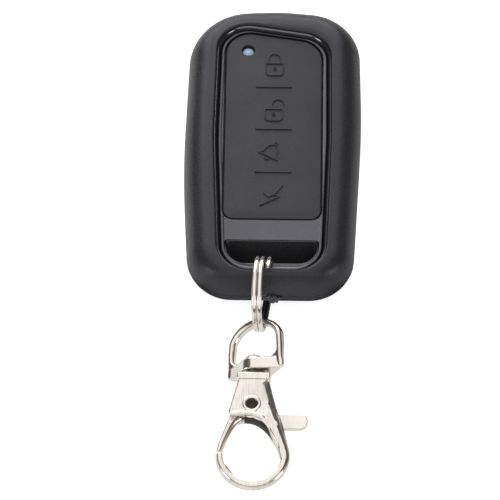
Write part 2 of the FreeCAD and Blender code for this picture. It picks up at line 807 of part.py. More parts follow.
CELL_FOOT = "(floor_wall + sheet_metal)"
node(cylinder("cell_can", "0", CELL_Y, CELL_FOOT, "cell_diameter / 2", "cell_thickness"), "coin_cell")
contact = box("contact_plate", "-contact_half", f"{CELL_Y} - contact_half", f"{CELL_FOOT} + cell_thickness",
              "2 * contact_half", "2 * contact_half", f"board_height - {CELL_FOOT} - cell_thickness")
node(contact, "cell_contact")
STRAP_END = "cell_diameter / 2 + strap_end_gap"
strap = box("strap_foot", "-strap_width / 2", f"{CELL_Y} - ({STRAP_END})", "floor_wall",
            "strap_width", f"2 * ({STRAP_END})", "sheet_metal")
legs = []
for side, y in (("near", f"{CELL_Y} - ({STRAP_END}) - sheet_metal"), ("far", f"{CELL_Y} + {STRAP_END}")):
    legs.append(box(f"strap_leg_{side}", "-strap_width / 2", y, "floor_wall",
                    "strap_width", "sheet_metal", "board_height - floor_wall"))
node(fuse("strap", [strap] + legs), "cell_clip")

screws = []
for number, (x, y) in enumerate(boss_centres(), start=1):
    head = cylinder(f"screw_head_{number}", x, y, "screw_sink", "screw_head_radius", "screw_head_height")
    shank = cylinder(f"screw_shank_{number}", x, y, "screw_sink", "screw_radius", "screw_length")
    screws.append(fuse(f"screw_{number}", [head, shank]))
screw_set = doc.addObject("Part::Compound", "screw_set")
screw_set.Links = screws
node(screw_set, "case_screws")


# Split ring: two flat turns of one wire, with a quarter turn that steps across

def arc_between(start, corner, finish):
    back = (start - corner).normalize()
    ahead = (finish - corner).normalize()
    half = back.getAngle(ahead) / 2
    if half > math.pi / 2 - 1e-7:
        return Part.LineSegment(start, finish).toShape()
    radius = (start - corner).Length * math.tan(half)
    centre = corner + (back + ahead).normalize() * (radius / math.sin(half))
    middle = centre + (corner - centre).normalize() * radius
    return Part.Arc(start, middle, finish).toShape()


# Two tangent arcs from one point and direction to the next
def two_arcs(start, heading, finish, arrival):
    span = finish - start
    both = heading + arrival
    a = both.dot(both) - 4
    b = -2 * span.dot(both)
    c = span.dot(span)
    if abs(a) < 1e-9:
        reach = -c / b
    else:
        root = math.sqrt(b * b - 4 * a * c)
        reach = min(x for x in ((-b + root) / (2 * a), (-b - root) / (2 * a)) if x > 0)
    first = start + heading * reach
    last = finish - arrival * reach
    joint = (first + last) * 0.5
    return [arc_between(start, first, joint), arc_between(joint, last, finish)]


def ring_path(radius, pitch, tail):
    def point(quarter):
        angle = math.radians(45 + 90 * quarter)
        across = -pitch / 2 if quarter < 4 else pitch / 2
        return Vector(radius * math.cos(angle), radius * math.sin(angle), across)

    def heading(quarter):
        angle = math.radians(45 + 90 * quarter)
        return Vector(-math.sin(angle), math.cos(angle), 0)

    edges = [Part.LineSegment(point(0) - heading(0) * tail, point(0)).toShape()]
    for quarter in range(7):
        edges += two_arcs(point(quarter), heading(quarter), point(quarter + 1), heading(quarter + 1))
    edges.append(Part.LineSegment(point(7), point(7) + heading(7) * tail).toShape())
    return Part.Wire(edges)


# Least distance between stretches of the wire that are more than a third of a turn apart
def least_gap(path, wire, turn):
    steps = 400
    points = path.discretize(Number=steps)
    apart = int(steps * turn / 3 / path.Length)
    least = min((points[i] - points[j]).Length for i in range(steps) for j in range(i + apart, steps))
    return least - wire


ring_radius = (value("ring_diameter") - value("ring_wire")) / 2
ring_wire = value("ring_wire")
ring_path_wire = ring_path(ring_radius, value("ring_pitch"), ring_wire)
section = Part.Wire([Part.Circle(ring_path_wire.Vertexes[0].Point, Vector(0, 0, 1), ring_wire / 2).toShape()])
start_heading = ring_path_wire.OrderedEdges[0].tangentAt(0)
section.rotate(ring_path_wire.OrderedVertexes[0].Point, Vector(0, 0, 1).cross(start_heading), 90)
ring = doc.addObject("Part::Feature", "split_ring")
ring.Shape = ring_path_wire.makePipeShell([section], True, False)
print("split ring gap", round(least_gap(ring_path_wire, ring_wire, 2 * math.pi * ring_radius), 3))
lean = math.radians(value("ring_lean"))
ring_lift = value("ring_diameter") / 2 * math.cos(lean)
ring_lift += (value("ring_pitch") + ring_wire) / 2 * math.sin(lean) + value("ring_table_gap")
ring_centre = Vector(value("ring_x"), value(END) - value("ring_past_end"), ring_lift)
# the wire's own axis points along +X, with the ring's top leaning left and its far end turned right
ring_turn = Rotation(Vector(0, 0, 1), -value("ring_yaw"))
ring_turn = ring_turn.multiply(Rotation(Vector(0, 1, 0), -value("ring_lean")))
ring_turn = ring_turn.multiply(Rotation(Vector(0, 1, 0), 90))
ring.Placement = Placement(ring_centre, ring_turn)
node(ring, "split_ring")

# Chain frame: origin in the middle of the eye's arch, -Y along the clasp
arch_y = ring_centre.y
arch_drop = ring_centre.z - value("chain_lift")
reach = math.sqrt((ring_radius - ring_wire / 2) ** 2 - arch_drop ** 2)
arch_y -= reach - value("eye_wire") / 2 - value("eye_ring_gap")
chain = Placement(Vector(value("chain_x"), arch_y, value("chain_lift")),
                  Rotation(Vector(1, 0, 0), value("chain_tilt")))
rolled = chain.multiply(Placement(Vector(), Rotation(Vector(0, 1, 0), -value("eye_roll"))))

# Eye: a D loop on a pointed base that the post turns in
EYE_TOP = "(eye_wire / 2)"
EYE_FOOT = "(eye_wire / 2 - eye_length)"
BASE_TOP = f"({EYE_FOOT} + eye_base_height)"
eye = new_body("swivel_eye")
profile = new_sketch(eye, "eye_outline")
add_loop(profile, [
    ("-eye_half", EYE_TOP, "eye_arch_round"),
    ("-eye_half", f"{BASE_TOP} - eye_loop_root", None),
    ("eye_half", f"{BASE_TOP} - eye_loop_root", None),
    ("eye_half", EYE_TOP, "eye_arch_round"),
])
raise_from(eye, "eye_loop", profile, "eye_depth", symmetric=True)
profile = new_sketch(eye, "eye_hole_outline")
add_loop(profile, [
    ("-(eye_half - eye_wire)", f"{EYE_TOP} - eye_wire", "eye_arch_round - eye_wire"),
    ("-(eye_half - eye_wire)", f"{BASE_TOP} - eye_loop_root", None),
    ("eye_half - eye_wire", f"{BASE_TOP} - eye_loop_root", None),
    ("eye_half - eye_wire", f"{EYE_TOP} - eye_wire", "eye_arch_round - eye_wire"),
])
raise_from(eye, "eye_hole", profile, "eye_depth + cut_past", "Pocket", symmetric=True)


def along_loop(edge):
    bounds = edge.BoundBox
    return bounds.ZLength < 1e-4 and bounds.YMax > value(f"{BASE_TOP} - eye_loop_root / 2")


round_edges(eye, "eye_round_wire", "eye_wire / 2 - eye_wire_flat", along_loop)
profile = new_sketch(eye, "eye_base_outline", f"-({BASE_TOP})", "XZ_Plane")
add_loop(profile, [
    ("-eye_base_half", "0", "eye_tip_round"),
    ("0", "-eye_base_depth", "eye_base_round"),
    ("eye_base_half", "0", "eye_tip_round"),
    ("0", "eye_base_depth", "eye_base_round"),
])
raise_from(eye, "eye_base", profile, "eye_base_height")
profile = new_sketch(eye, "eye_recess_outline", f"-({EYE_FOOT})", "XZ_Plane")
add_circle(profile, "0", "0", "eye_recess_radius")
raise_from(eye, "eye_recess", profile, "eye_recess_depth", "Pocket", upward=False)
profile = new_sketch(eye, "eye_bore_outline", f"-({EYE_FOOT})", "XZ_Plane")
add_circle(profile, "0", "0", "post_radius + post_gap")
raise_from(eye, "eye_bore", profile, "eye_base_height", "Pocket", upward=False)
eye.Placement = rolled


def revolve(body, name, sketch, kind="Revolution"):
    feature = body.newObject(f"PartDesign::{kind}", name)
    feature.Profile = sketch
    feature.ReferenceAxis = (sketch, ["V_Axis"])
    feature.Angle = 360
    doc.recompute()
    return feature


# Swivel post: fast in the clasp's collar, headed inside the eye
COLLAR_TOP = f"({EYE_FOOT} - collar_gap)"
COLLAR_END = f"({COLLAR_TOP} - collar_height)"
HEAD_SEAT = f"({BASE_TOP} + post_head_gap)"
post = new_body("swivel_post")
profile = new_sketch(post, "post_outline")
add_loop(profile, [
    ("0", COLLAR_END, None),
    ("post_radius", COLLAR_END, None),
    ("post_radius", HEAD_SEAT, None),
    ("post_head_radius", HEAD_SEAT, None),
    ("post_head_radius", f"{HEAD_SEAT} + post_head_height", "post_head_height - post_head_flat"),
    ("0", f"{HEAD_SEAT} + post_head_height", None),
])
revolve(post, "post_turned", profile)
post.Placement = chain

# Clasp: collar, hollow body and open hook
BODY_TOP = f"({COLLAR_END} + collar_bite)"
BODY_END = f"({BODY_TOP} - body_length)"
HOOK_Y = f"({BODY_TOP} - hook_from_body)"
PIVOT_X = "-pivot_left"
PIVOT_Y = f"({BODY_TOP} - gate_pivot_from)"
HOOK_OUT = "(hook_radius + hook_wire)"
clasp = new_body("clasp_hook")
profile = new_sketch(clasp, "clasp_body_outline")
add_loop(profile, [
    ("-body_half_top", BODY_TOP, None),
    ("-body_half_low", BODY_END, "body_corner"),
    ("throat_x", f"{BODY_END} + throat_drop", "throat_round"),
    ("crook_x", f"{BODY_END} - crook_drop", "crook_round"),
    ("arm_x", f"{BODY_END} - arm_drop", None),
    (f"{HOOK_OUT} - arm_inset", f"{BODY_END} - arm_drop", None),
    ("body_half_low + bulge_out", f"{BODY_END} - bulge_drop", "bulge_round"),
    ("body_half_top - body_top_skew", BODY_TOP, None),
])
raise_from(clasp, "clasp_body", profile, "body_depth", symmetric=True)


def clasp_rim(edge):
    lowest = value(f"{BODY_END} - arm_drop - body_top_skew")
    return edge.BoundBox.ZLength < 1e-4 and edge.BoundBox.YMin > lowest


def clasp_outer_rim(edge):
    middle = edge.valueAt((edge.FirstParameter + edge.LastParameter) / 2)
    outer = middle.x > value("body_half_top") or middle.x < -value("body_half_top")
    long_enough = edge.BoundBox.YLength > value("body_edge") / 2
    above_crook = middle.y > value(f"{BODY_END} - crook_drop - body_edge")
    return clasp_rim(edge) and outer and long_enough and above_crook


round_edges(clasp, "clasp_rolled_rim", "body_edge", clasp_outer_rim)
profile = new_sketch(clasp, "clasp_cavity_outline")
add_loop(profile, [
    ("-hook_radius - cavity_past", f"{BODY_TOP} - cavity_top", None),
    ("-hook_radius - cavity_past", f"{BODY_TOP} - cavity_top - cavity_length", None),
    ("hook_radius + cavity_past", f"{BODY_TOP} - cavity_top - cavity_length", None),
    ("hook_radius + cavity_past", f"{BODY_TOP} - cavity_top", None),
])
raise_from(clasp, "clasp_cavity", profile, "body_depth - 2 * cheek_wall", "Pocket", symmetric=True)
profile = new_sketch(clasp, "clasp_arm_outline")
add_loop(profile, [
    ("hook_radius + arm_bite", HOOK_Y, None),
    (f"{HOOK_OUT} - arm_bite", HOOK_Y, None),
    (f"{HOOK_OUT} - arm_lean", f"{BODY_END} - arm_top_drop", None),
    ("hook_radius - arm_inner_top", f"{BODY_END} - arm_inner_drop", None),
])
raise_from(clasp, "clasp_arm", profile, "hook_depth - hook_edge", symmetric=True)
profile = new_sketch(clasp, "clasp_hook_section", f"-({HOOK_Y})", "XZ_Plane")
add_loop(profile, [
    ("hook_radius", "-hook_depth / 2", "hook_edge"),
    (HOOK_OUT, "-hook_depth / 2", "hook_edge"),
    (HOOK_OUT, "hook_depth / 2", "hook_edge"),
    ("hook_radius", "hook_depth / 2", "hook_edge"),
])
hook_bend = revolve(clasp, "clasp_hook_bend", profile)
hook_bend.Angle = 180
hook_bend.Reversed = True
profile = new_sketch(clasp, "clasp_collar_outline")
add_loop(profile, [
    ("-collar_half", COLLAR_TOP, "collar_round"),
    ("-collar_half", COLLAR_END, "collar_round"),
    ("collar_half", COLLAR_END, "collar_round"),
    ("collar_half", COLLAR_TOP, "collar_round"),
])
raise_from(clasp, "clasp_collar", profile, "body_depth + collar_round", symmetric=True)
profile = new_sketch(clasp, "clasp_post_socket_outline")
add_loop(profile, [
    ("0", COLLAR_END, None),
    ("post_radius", COLLAR_END, None),
    ("post_radius", f"{COLLAR_TOP} + cut_past", None),
    ("0", f"{COLLAR_TOP} + cut_past", None),
])
revolve(clasp, "clasp_post_socket", profile, "Groove")
profile = new_sketch(clasp, "clasp_rivet_hole_outline")
add_circle(profile, PIVOT_X, PIVOT_Y, "rivet_radius")
raise_from(clasp, "clasp_rivet_hole", profile, "body_depth + 2 * cut_past", "Pocket", symmetric=True)
clasp.Placement = chain

# Gate lever: hub on the rivet, arm to the hook's tip, thumb tab
GATE_TIP = f"({HOOK_Y} + gate_gap)"
TAB_Y = f"({PIVOT_Y} - tab_drop)"
gate = new_body("gate_lever")
profile = new_sketch(gate, "gate_outline")
add_loop(profile, [
    (f"{PIVOT_X} + hub_right", f"{PIVOT_Y} + gate_hub", "hub_right_round"),
    (f"{PIVOT_X} - hub_left", f"{PIVOT_Y} + gate_hub", "hub_left_round"),
    (f"-{HOOK_OUT} + back_x", f"{BODY_END} - back_drop", "back_round"),
    (f"-{HOOK_OUT} + tip_inset", f"{GATE_TIP} + tip_slant", "tip_outer_round"),
    (f"-{HOOK_OUT} + tip_inset + gate_wire", GATE_TIP, "tip_inner_round"),
    ("-belly_x", f"{BODY_END} - belly_drop", "belly_round"),
    ("-belly_hub_x", f"{PIVOT_Y} - gate_hub", "hub_low_round"),
    ("neck_x", f"{PIVOT_Y} - gate_hub - neck_drop", "hub_low_round"),
    ("neck_end", f"{TAB_Y} - tab_width / 4", None),
    ("neck_end", f"{TAB_Y} + tab_width / 4", None),
    ("neck_top_x", f"{PIVOT_Y} - neck_top_drop", "neck_top_round"),
])
raise_from(gate, "gate_plate", profile, "gate_depth", symmetric=True)
profile = new_sketch(gate, "gate_tab_outline")
add_loop(profile, [
    ("tab_root", f"{TAB_Y} + tab_width / 2", None),
    ("tab_root", f"{TAB_Y} - tab_width / 2", None),
    ("tab_reach", f"{TAB_Y} - tab_width / 2", "tab_width / 2 - tab_end_flat"),
    ("tab_reach", f"{TAB_Y} + tab_width / 2", "tab_width / 2 - tab_end_flat"),
])
raise_from(gate, "gate_tab", profile, "tab_depth", symmetric=True)
profile = new_sketch(gate, "gate_bore_outline")
add_circle(profile, PIVOT_X, PIVOT_Y, "rivet_radius + rivet_gap")
raise_from(gate, "gate_bore", profile, "gate_depth + cut_past", "Pocket", symmetric=True)
profile = new_sketch(gate, "gate_spring_well_outline", "gate_depth / 2 - spring_height - spring_floor_gap")
add_circle(profile, PIVOT_X, PIVOT_Y, "spring_outer + spring_side_gap")
raise_from(gate, "gate_spring_well", profile, "spring_height + cut_past", "Pocket")
gate.Placement = chain

spring = new_body("gate_spring")
profile = new_sketch(spring, "spring_outline", "gate_depth / 2 - spring_height - spring_floor_gap / 2")
add_circle(profile, PIVOT_X, PIVOT_Y, "spring_outer")
add_circle(profile, PIVOT_X, PIVOT_Y, "spring_inner")
raise_from(spring, "spring_coil", profile, "spring_height")
spring.Placement = chain

rivet = new_body("gate_rivet")
profile = new_sketch(rivet, "rivet_shank_outline")
add_circle(profile, PIVOT_X, PIVOT_Y, "rivet_radius")
add_circle(profile, PIVOT_X, PIVOT_Y, "rivet_bore")
raise_from(rivet, "rivet_shank", profile, "body_depth + 2 * rivet_flange", symmetric=True)
for side, level, upward in (("front", "body_depth / 2", True), ("rear", "-body_depth / 2", False)):
    profile = new_sketch(rivet, f"rivet_{side}_flange_outline", level)
    add_circle(profile, PIVOT_X, PIVOT_Y, "rivet_flange_radius")
    add_circle(profile, PIVOT_X, PIVOT_Y, "rivet_bore")
    raise_from(rivet, f"rivet_{side}_flange", profile, "rivet_flange", upward=upward)
rivet.Placement = chain

doc.recompute()
for item in doc.Objects:
    if "Invalid" in item.State or "Error" in item.State:
        raise ValueError(f"{item.Name} is {item.State}")
for item in NODES:
    if item.Shape.isNull() or not item.Shape.isValid():
        raise ValueError(f"{item.Label} has no valid shape")

os.makedirs("parts", exist_ok=True)
for item in NODES:
    item.Shape.exportStep(f"parts/{item.Label}.step")
print("chain origin", chain.Base, "ring centre", ring_centre)
print(len(NODES), "sub-parts")
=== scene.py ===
from math import copysign, cos, pi, radians, sin, sqrt, tan

import bmesh
import bpy
from mathutils import Matrix, Vector


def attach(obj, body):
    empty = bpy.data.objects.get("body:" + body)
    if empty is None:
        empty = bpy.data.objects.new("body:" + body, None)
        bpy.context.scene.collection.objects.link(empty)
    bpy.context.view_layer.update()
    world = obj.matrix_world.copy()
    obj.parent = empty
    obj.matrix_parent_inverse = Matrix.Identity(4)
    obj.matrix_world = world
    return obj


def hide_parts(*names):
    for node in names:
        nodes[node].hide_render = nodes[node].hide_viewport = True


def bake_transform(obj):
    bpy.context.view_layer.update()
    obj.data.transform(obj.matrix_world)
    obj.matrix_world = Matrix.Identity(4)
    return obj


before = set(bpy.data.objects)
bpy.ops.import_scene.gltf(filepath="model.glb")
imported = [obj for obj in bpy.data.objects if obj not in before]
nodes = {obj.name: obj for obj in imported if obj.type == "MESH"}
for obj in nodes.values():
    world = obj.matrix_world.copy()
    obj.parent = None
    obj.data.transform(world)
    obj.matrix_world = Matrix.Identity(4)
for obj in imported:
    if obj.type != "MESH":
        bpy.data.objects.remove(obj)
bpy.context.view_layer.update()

scene = bpy.context.scene

# The pieces are modelled in millimetres and brought to metres when they are finished
view = {"lens": 205.2, "sensor": 36.0, "nearest": 0.01, "distance": 580.0, "elevation": 55.5, "azimuth": 0.9,
        "target": (-4.4, -20.0, 0.0)}
millimetre = 0.001


def placeCamera():
    bpy.ops.object.camera_add()
    camera = bpy.context.object
    camera.name = "productCamera"
    rise = radians(view["elevation"])
    turn = radians(view["azimuth"])
    back = Vector((sin(turn) * cos(rise), -cos(turn) * cos(rise), sin(rise)))
    right = Vector((cos(turn), sin(turn), 0.0))
    up = back.cross(right)
    camera.matrix_world = Matrix((right, up, back)).transposed().to_4x4()
    camera.location = (Vector(view["target"]) + back * view["distance"]) * millimetre
    camera.data.lens = view["lens"]
    camera.data.sensor_width = view["sensor"]
    camera.data.clip_start = view["nearest"]
    scene.camera = camera
    print("camera placed")


placeCamera()


# shared modelling steps

def setMode(mode):
    bpy.ops.object.mode_set(mode=mode)


def deselectAll():
    if bpy.context.object and bpy.context.object.mode != "OBJECT":
        setMode("OBJECT")
    bpy.ops.object.select_all(action="DESELECT")


def makeActive(piece):
    deselectAll()
    piece.select_set(True)
    bpy.context.view_layer.objects.active = piece


# A modifier is added with its values and applied
def modify(piece, kind, **values):
    modifier = piece.modifiers.new(kind.lower(), kind)
    for key, value in values.items():
        setattr(modifier, key, value)
    makeActive(piece)
    bpy.ops.object.modifier_apply(modifier=modifier.name)


# Even points round a closed outline whose corners (x, y, radius) are rounded
def roundLoop(corners, count, start=(0.0, 1000.0)):
    dense = []
    total = len(corners)
    steps = 24
    for i in range(total):
        here = Vector(corners[i][:2])
        back = (Vector(corners[i - 1][:2]) - here).normalized()
        ahead = (Vector(corners[(i + 1) % total][:2]) - here).normalized()
        radius = corners[i][2]
        if radius <= 0:
            dense.append(here)
            continue
        half = back.angle(ahead) / 2
        middle = here + (back + ahead).normalized() * (radius / sin(half))
        first = here + back * (radius / tan(half)) - middle
        last = here + ahead * (radius / tan(half)) - middle
        sweep = first.angle_signed(last)
        for k in range(steps + 1):
            turn = -sweep * k / steps
            c, s = cos(turn), sin(turn)
            dense.append(middle + Vector((first.x * c - first.y * s, first.x * s + first.y * c)))
    return spreadEvenly(dense, count, start)


# The loop runs anticlockwise from the point nearest to start
def spreadEvenly(dense, count, start):
    area = sum(a.x * b.y - b.x * a.y for a, b in zip(dense, dense[1:] + dense[:1]))
    if area < 0:
        dense = dense[::-1]
    first = min(range(len(dense)), key=lambda i: (dense[i] - Vector(start)).length)
    dense = dense[first:] + dense[:first]
    dense.append(dense[0].copy())
    runs = [(b - a).length for a, b in zip(dense, dense[1:])]
    step = sum(runs) / count
    points = []
    reach = 0.0
    wanted = 0.0
    for a, b, run in zip(dense, dense[1:], runs):
        while run > 0 and wanted <= reach + run and len(points) < count:
            points.append(a.lerp(b, (wanted - reach) / run))
            wanted += step
        reach += run
    return points


def outwardNormals(loop):
    count = len(loop)
    normals = []
    for i in range(count):
        along = (loop[(i + 1) % count] - loop[i - 1]).normalized()
        normals.append(Vector((along.y, -along.x)))
    return normals


# The loop moved outwards by an offset, at a height
def offsetRing(loop, outward, offset, z):
    return [Vector((p.x + n.x * offset, p.y + n.y * offset, z)) for p, n in zip(loop, outward)]


def newCircle(count):
    deselectAll()
    bpy.ops.mesh.primitive_circle_add(vertices=count, radius=1.0, fill_type="NOTHING")
    return bpy.context.object


# A skin through rings of points, each ring extruded from the one before
def skinRings(rings, bridged=False):
    piece = newCircle(len(rings[0]))
    spots = piece.data.attributes.new("spot", "INT", "POINT")
    spots.data.foreach_set("value", list(range(len(rings[0]))))
    setMode("EDIT")
    bpy.ops.mesh.select_mode(type="VERT")
    bpy.ops.mesh.select_all(action="SELECT")
    for number, ring in enumerate(rings):
        if number:
            bpy.ops.mesh.extrude_edges_move()
        mesh = bmesh.from_edit_mesh(piece.data)
        spot = mesh.verts.layers.int["spot"]
        for vertex in mesh.verts:
            if vertex.select:
                vertex.co = ring[vertex[spot]]
        bmesh.update_edit_mesh(piece.data)
    bpy.ops.mesh.select_all(action="DESELECT")
    bpy.ops.mesh.select_mode(type="EDGE")
    bpy.ops.mesh.select_non_manifold(extend=False, use_wire=False, use_multi_face=False,
                                     use_non_contiguous=False, use_verts=False)
    if bridged:
        bpy.ops.mesh.bridge_edge_loops()
    else:
        capLoops(piece)
    bpy.ops.mesh.select_all(action="SELECT")
    bpy.ops.mesh.normals_make_consistent(inside=False)
    setMode("OBJECT")
    piece.data.attributes.remove(piece.data.attributes["spot"])
    return piece


# Each open loop of a skin is filled by a face of its own
def capLoops(piece):
    mesh = bmesh.from_edit_mesh(piece.data)
    rims = [edge for edge in mesh.edges if edge.is_boundary]
    bmesh.ops.holes_fill(mesh, edges=rims, sides=0)
    bmesh.update_edit_mesh(piece.data)


def prism(loop, low, high):
    return skinRings([[Vector((p.x, p.y, z)) for p in loop] for z in (low, high)])


# A turned shape from (radius, height) pairs along an axis
def turned(profile, centre=(0.0, 0.0, 0.0), axis="Z", count=48, bridged=False):
    rings = []
    for radius, along in profile:
        ring = []
        for k in range(count):
            turn = 2 * pi * k / count
            a, b = radius * cos(turn), radius * sin(turn)
            offset = {"Z": (a, b, along), "Y": (a, along, b)}[axis]
            ring.append(Vector(centre) + Vector(offset))
        rings.append(ring)
    return skinRings(rings, bridged)


def combine(piece, tool, how="DIFFERENCE"):
    modify(piece, "BOOLEAN", operation=how, solver="EXACT", object=tool)
    bpy.data.objects.remove(tool)


def joinPieces(pieces):
    deselectAll()
    for piece in pieces:
        piece.select_set(True)
    bpy.context.view_layer.objects.active = pieces[0]
    bpy.ops.object.join()
    return bpy.context.object


# Overlapping lumps become one casting with soft inner corners
def meltTogether(pieces, grain, passes=4):
    casting = joinPieces(pieces)
    modify(casting, "REMESH", mode="VOXEL", voxel_size=grain)
    modify(casting, "SMOOTH", factor=0.5, iterations=passes)
    return casting


def softEdges(piece, width, segments, angle=40.0):
    modify(piece, "BEVEL", width=width, segments=segments, limit_method="ANGLE", angle_limit=radians(angle))


def finishPiece(piece, name, body, material, standsFor=(), angle=35.0, place=None):
    piece.name = name
    piece.data.name = name
    if place:
        piece.data.transform(place)
    makeActive(piece)
    piece.scale = (millimetre, millimetre, millimetre)
    bpy.ops.object.transform_apply(location=True, rotation=True, scale=True)
    bpy.ops.object.shade_smooth_by_angle(angle=radians(angle))
    if not piece.data.materials:
        piece.data.materials.append(finishes[material])
    if body:
        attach(piece, body)
    if standsFor:
        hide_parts(*standsFor)
    print("made", name, len(piece.data.polygons))


# finishes

plasticLooks = {
    "shellPlastic": {"colour": (0.0205, 0.020, 0.0245), "rough": (0.26, 0.44), "grain": 3000.0,
                     "grainDepth": 0.0001, "gloss": 1.43},
    "rimPlastic": {"colour": (0.022, 0.022, 0.024), "rough": (0.2, 0.26), "strength": 0.1, "gloss": 1.75},
    "deckPlastic": {"colour": (0.078, 0.077, 0.087), "rough": (0.34, 0.56), "grain": 3600.0,
                    "grainDepth": 0.00008, "strength": 0.9},
    "keyRubber": {"colour": (0.027, 0.0265, 0.0315), "rough": (0.5, 0.68), "grain": 4200.0,
                  "grainDepth": 0.00006, "strength": 0.6},
    "slotPlastic": {"colour": (0.042, 0.042, 0.046), "rough": (0.25, 0.35), "strength": 0.1},
    "wallGloss": {"colour": (0.012, 0.012, 0.013), "rough": (0.13, 0.17), "strength": 0.05, "gloss": 2.3},
    # boreShade colours the pieces that paint shade, in the rivet's bore and under the clasp's arch
    "boreShade": {"colour": (0.045, 0.035, 0.028), "rough": (0.5, 0.6), "strength": 0.1},
    "boardGreen": {"colour": (0.012, 0.16, 0.055), "rough": (0.3, 0.42), "grain": 1800.0, "strength": 0.2},
    "chipBlack": {"colour": (0.02, 0.02, 0.02), "rough": (0.5, 0.62), "grain": 4000.0, "strength": 0.3},
}
nickelLooks = {
    "castNickel": {"colour": (0.86, 0.80, 0.74), "rough": (0.13, 0.24), "streak": (7000.0, 450.0, 450.0),
                   "strength": 0.2},
    "brushedNickel": {"colour": (0.87, 0.81, 0.75), "rough": (0.15, 0.29), "streak": (4300.0, 320.0, 320.0),
                      "strength": 0.3, "stroke": 0.86},
    "wireNickel": {"colour": (0.85, 0.80, 0.755), "rough": (0.09, 0.16), "streak": (900.0, 900.0, 900.0),
                   "strength": 0.05},
    "cellSteel": {"colour": (0.72, 0.72, 0.73), "rough": (0.22, 0.34), "streak": (500.0, 4000.0, 500.0),
                  "strength": 0.1},
}
lensLook = {"cloud": 600.0, "dark": (0.30, 0.46, 0.60), "light": (0.42, 0.60, 0.74), "rough": 0.25,
            "depth": 0.4, "reach": 0.001}


def newMaterial(name):
    material = bpy.data.materials.new(name)
    material.use_nodes = True
    tree = material.node_tree
    place = tree.nodes.new("ShaderNodeTexCoord").outputs["Object"]
    return material, tree, tree.nodes["Principled BSDF"], place


# Each socket is set to a value or linked to another node's output
def fillSockets(tree, node, sockets):
    for key, value in sockets.items():
        if isinstance(value, bpy.types.NodeSocket):
            tree.links.new(value, node.inputs[key])
        else:
            node.inputs[key].default_value = value


def addNode(tree, kind, sockets, operation=None):
    node = tree.nodes.new("ShaderNode" + kind)
    if operation:
        node.operation = operation
    fillSockets(tree, node, sockets)
    return node.outputs


def noiseNode(tree, place, scale, detail, stretch=None):
    if stretch:
        place = addNode(tree, "Mapping", {"Vector": place, "Scale": stretch})["Vector"]
    return addNode(tree, "TexNoise", {"Vector": place, "Scale": scale, "Detail": detail})["Fac"]


def rampNode(tree, source, stops):
    ramp = tree.nodes.new("ShaderNodeValToRGB")
    for element, (where, colour) in zip(ramp.color_ramp.elements, stops):
        element.position = where
        element.color = (*colour, 1.0) if isinstance(colour, tuple) else (colour, colour, colour, 1.0)
    tree.links.new(source, ramp.inputs["Fac"])
    return ramp.outputs["Color"]


def bumpNode(tree, source, strength, distance):
    return addNode(tree, "Bump", {"Height": source, "Strength": strength, "Distance": distance})["Normal"]


# A dark plastic, a little uneven in colour and grained in its sheen
def mouldedPlastic(name, colour, rough, grain=3000.0, grainDepth=0.00001, strength=0.35, gloss=1.5,
                   patches=90.0, uneven=0.14):
    material, tree, shader, place = newMaterial(name)
    broad = noiseNode(tree, place, patches, 4.0)
    fine = noiseNode(tree, place, grain, 2.0)
    fillSockets(tree, shader, {
        "Base Color": rampNode(tree, broad, [(0.3, tuple(c * (1 - uneven) for c in colour)),
                                             (0.7, tuple(c * (1 + uneven) for c in colour))]),
        "Roughness": rampNode(tree, fine, [(0.35, rough[0]), (0.65, rough[1])]),
        "Normal": bumpNode(tree, fine, strength, grainDepth),
        "IOR": gloss, "Specular Tint": (0.9, 0.895, 1.0, 1.0),
    })
    return material


# Plated metal; streak is the scale of its fine lines, stroke how dark they get
def nickelMetal(name, colour, rough, streak, strength, stroke=1.0, patches=220.0, dull=0.86):
    material, tree, shader, place = newMaterial(name)
    broad = noiseNode(tree, place, patches, 4.0)
    lines = noiseNode(tree, place, 1.0, 4.0, streak)
    brushed = tree.nodes.new("ShaderNodeMix")
    brushed.data_type = "RGBA"
    brushed.blend_type = "MULTIPLY"
    fillSockets(tree, brushed, {
        "Factor": 1.0,
        "A": rampNode(tree, broad, [(0.35, tuple(c * dull for c in colour)), (0.62, colour)]),
        "B": rampNode(tree, lines, [(0.36, stroke), (0.6, 1.0)]),
    })
    fillSockets(tree, shader, {
        "Metallic": 1.0, "Base Color": brushed.outputs["Result"],
        "Roughness": rampNode(tree, lines, [(0.3, rough[0]), (0.7, rough[1])]),
        "Normal": bumpNode(tree, lines, strength, 0.00002),
    })
    return material


def paleLens():
    look = lensLook
    material, tree, shader, place = newMaterial("paleLens")
    cloud = noiseNode(tree, place, look["cloud"], 2.0)
    fillSockets(tree, shader, {
        "Base Color": rampNode(tree, cloud, [(0.3, look["dark"]), (0.7, look["light"])]),
        "Roughness": look["rough"], "Subsurface Weight": look["depth"], "Subsurface Scale": look["reach"],
    })
    return material


finishes = {name: mouldedPlastic(name, **look) for name, look in plasticLooks.items()}
finishes.update({name: nickelMetal(name, **look) for name, look in nickelLooks.items()})
finishes["paleLens"] = paleLens()
print("finishes made")

# case

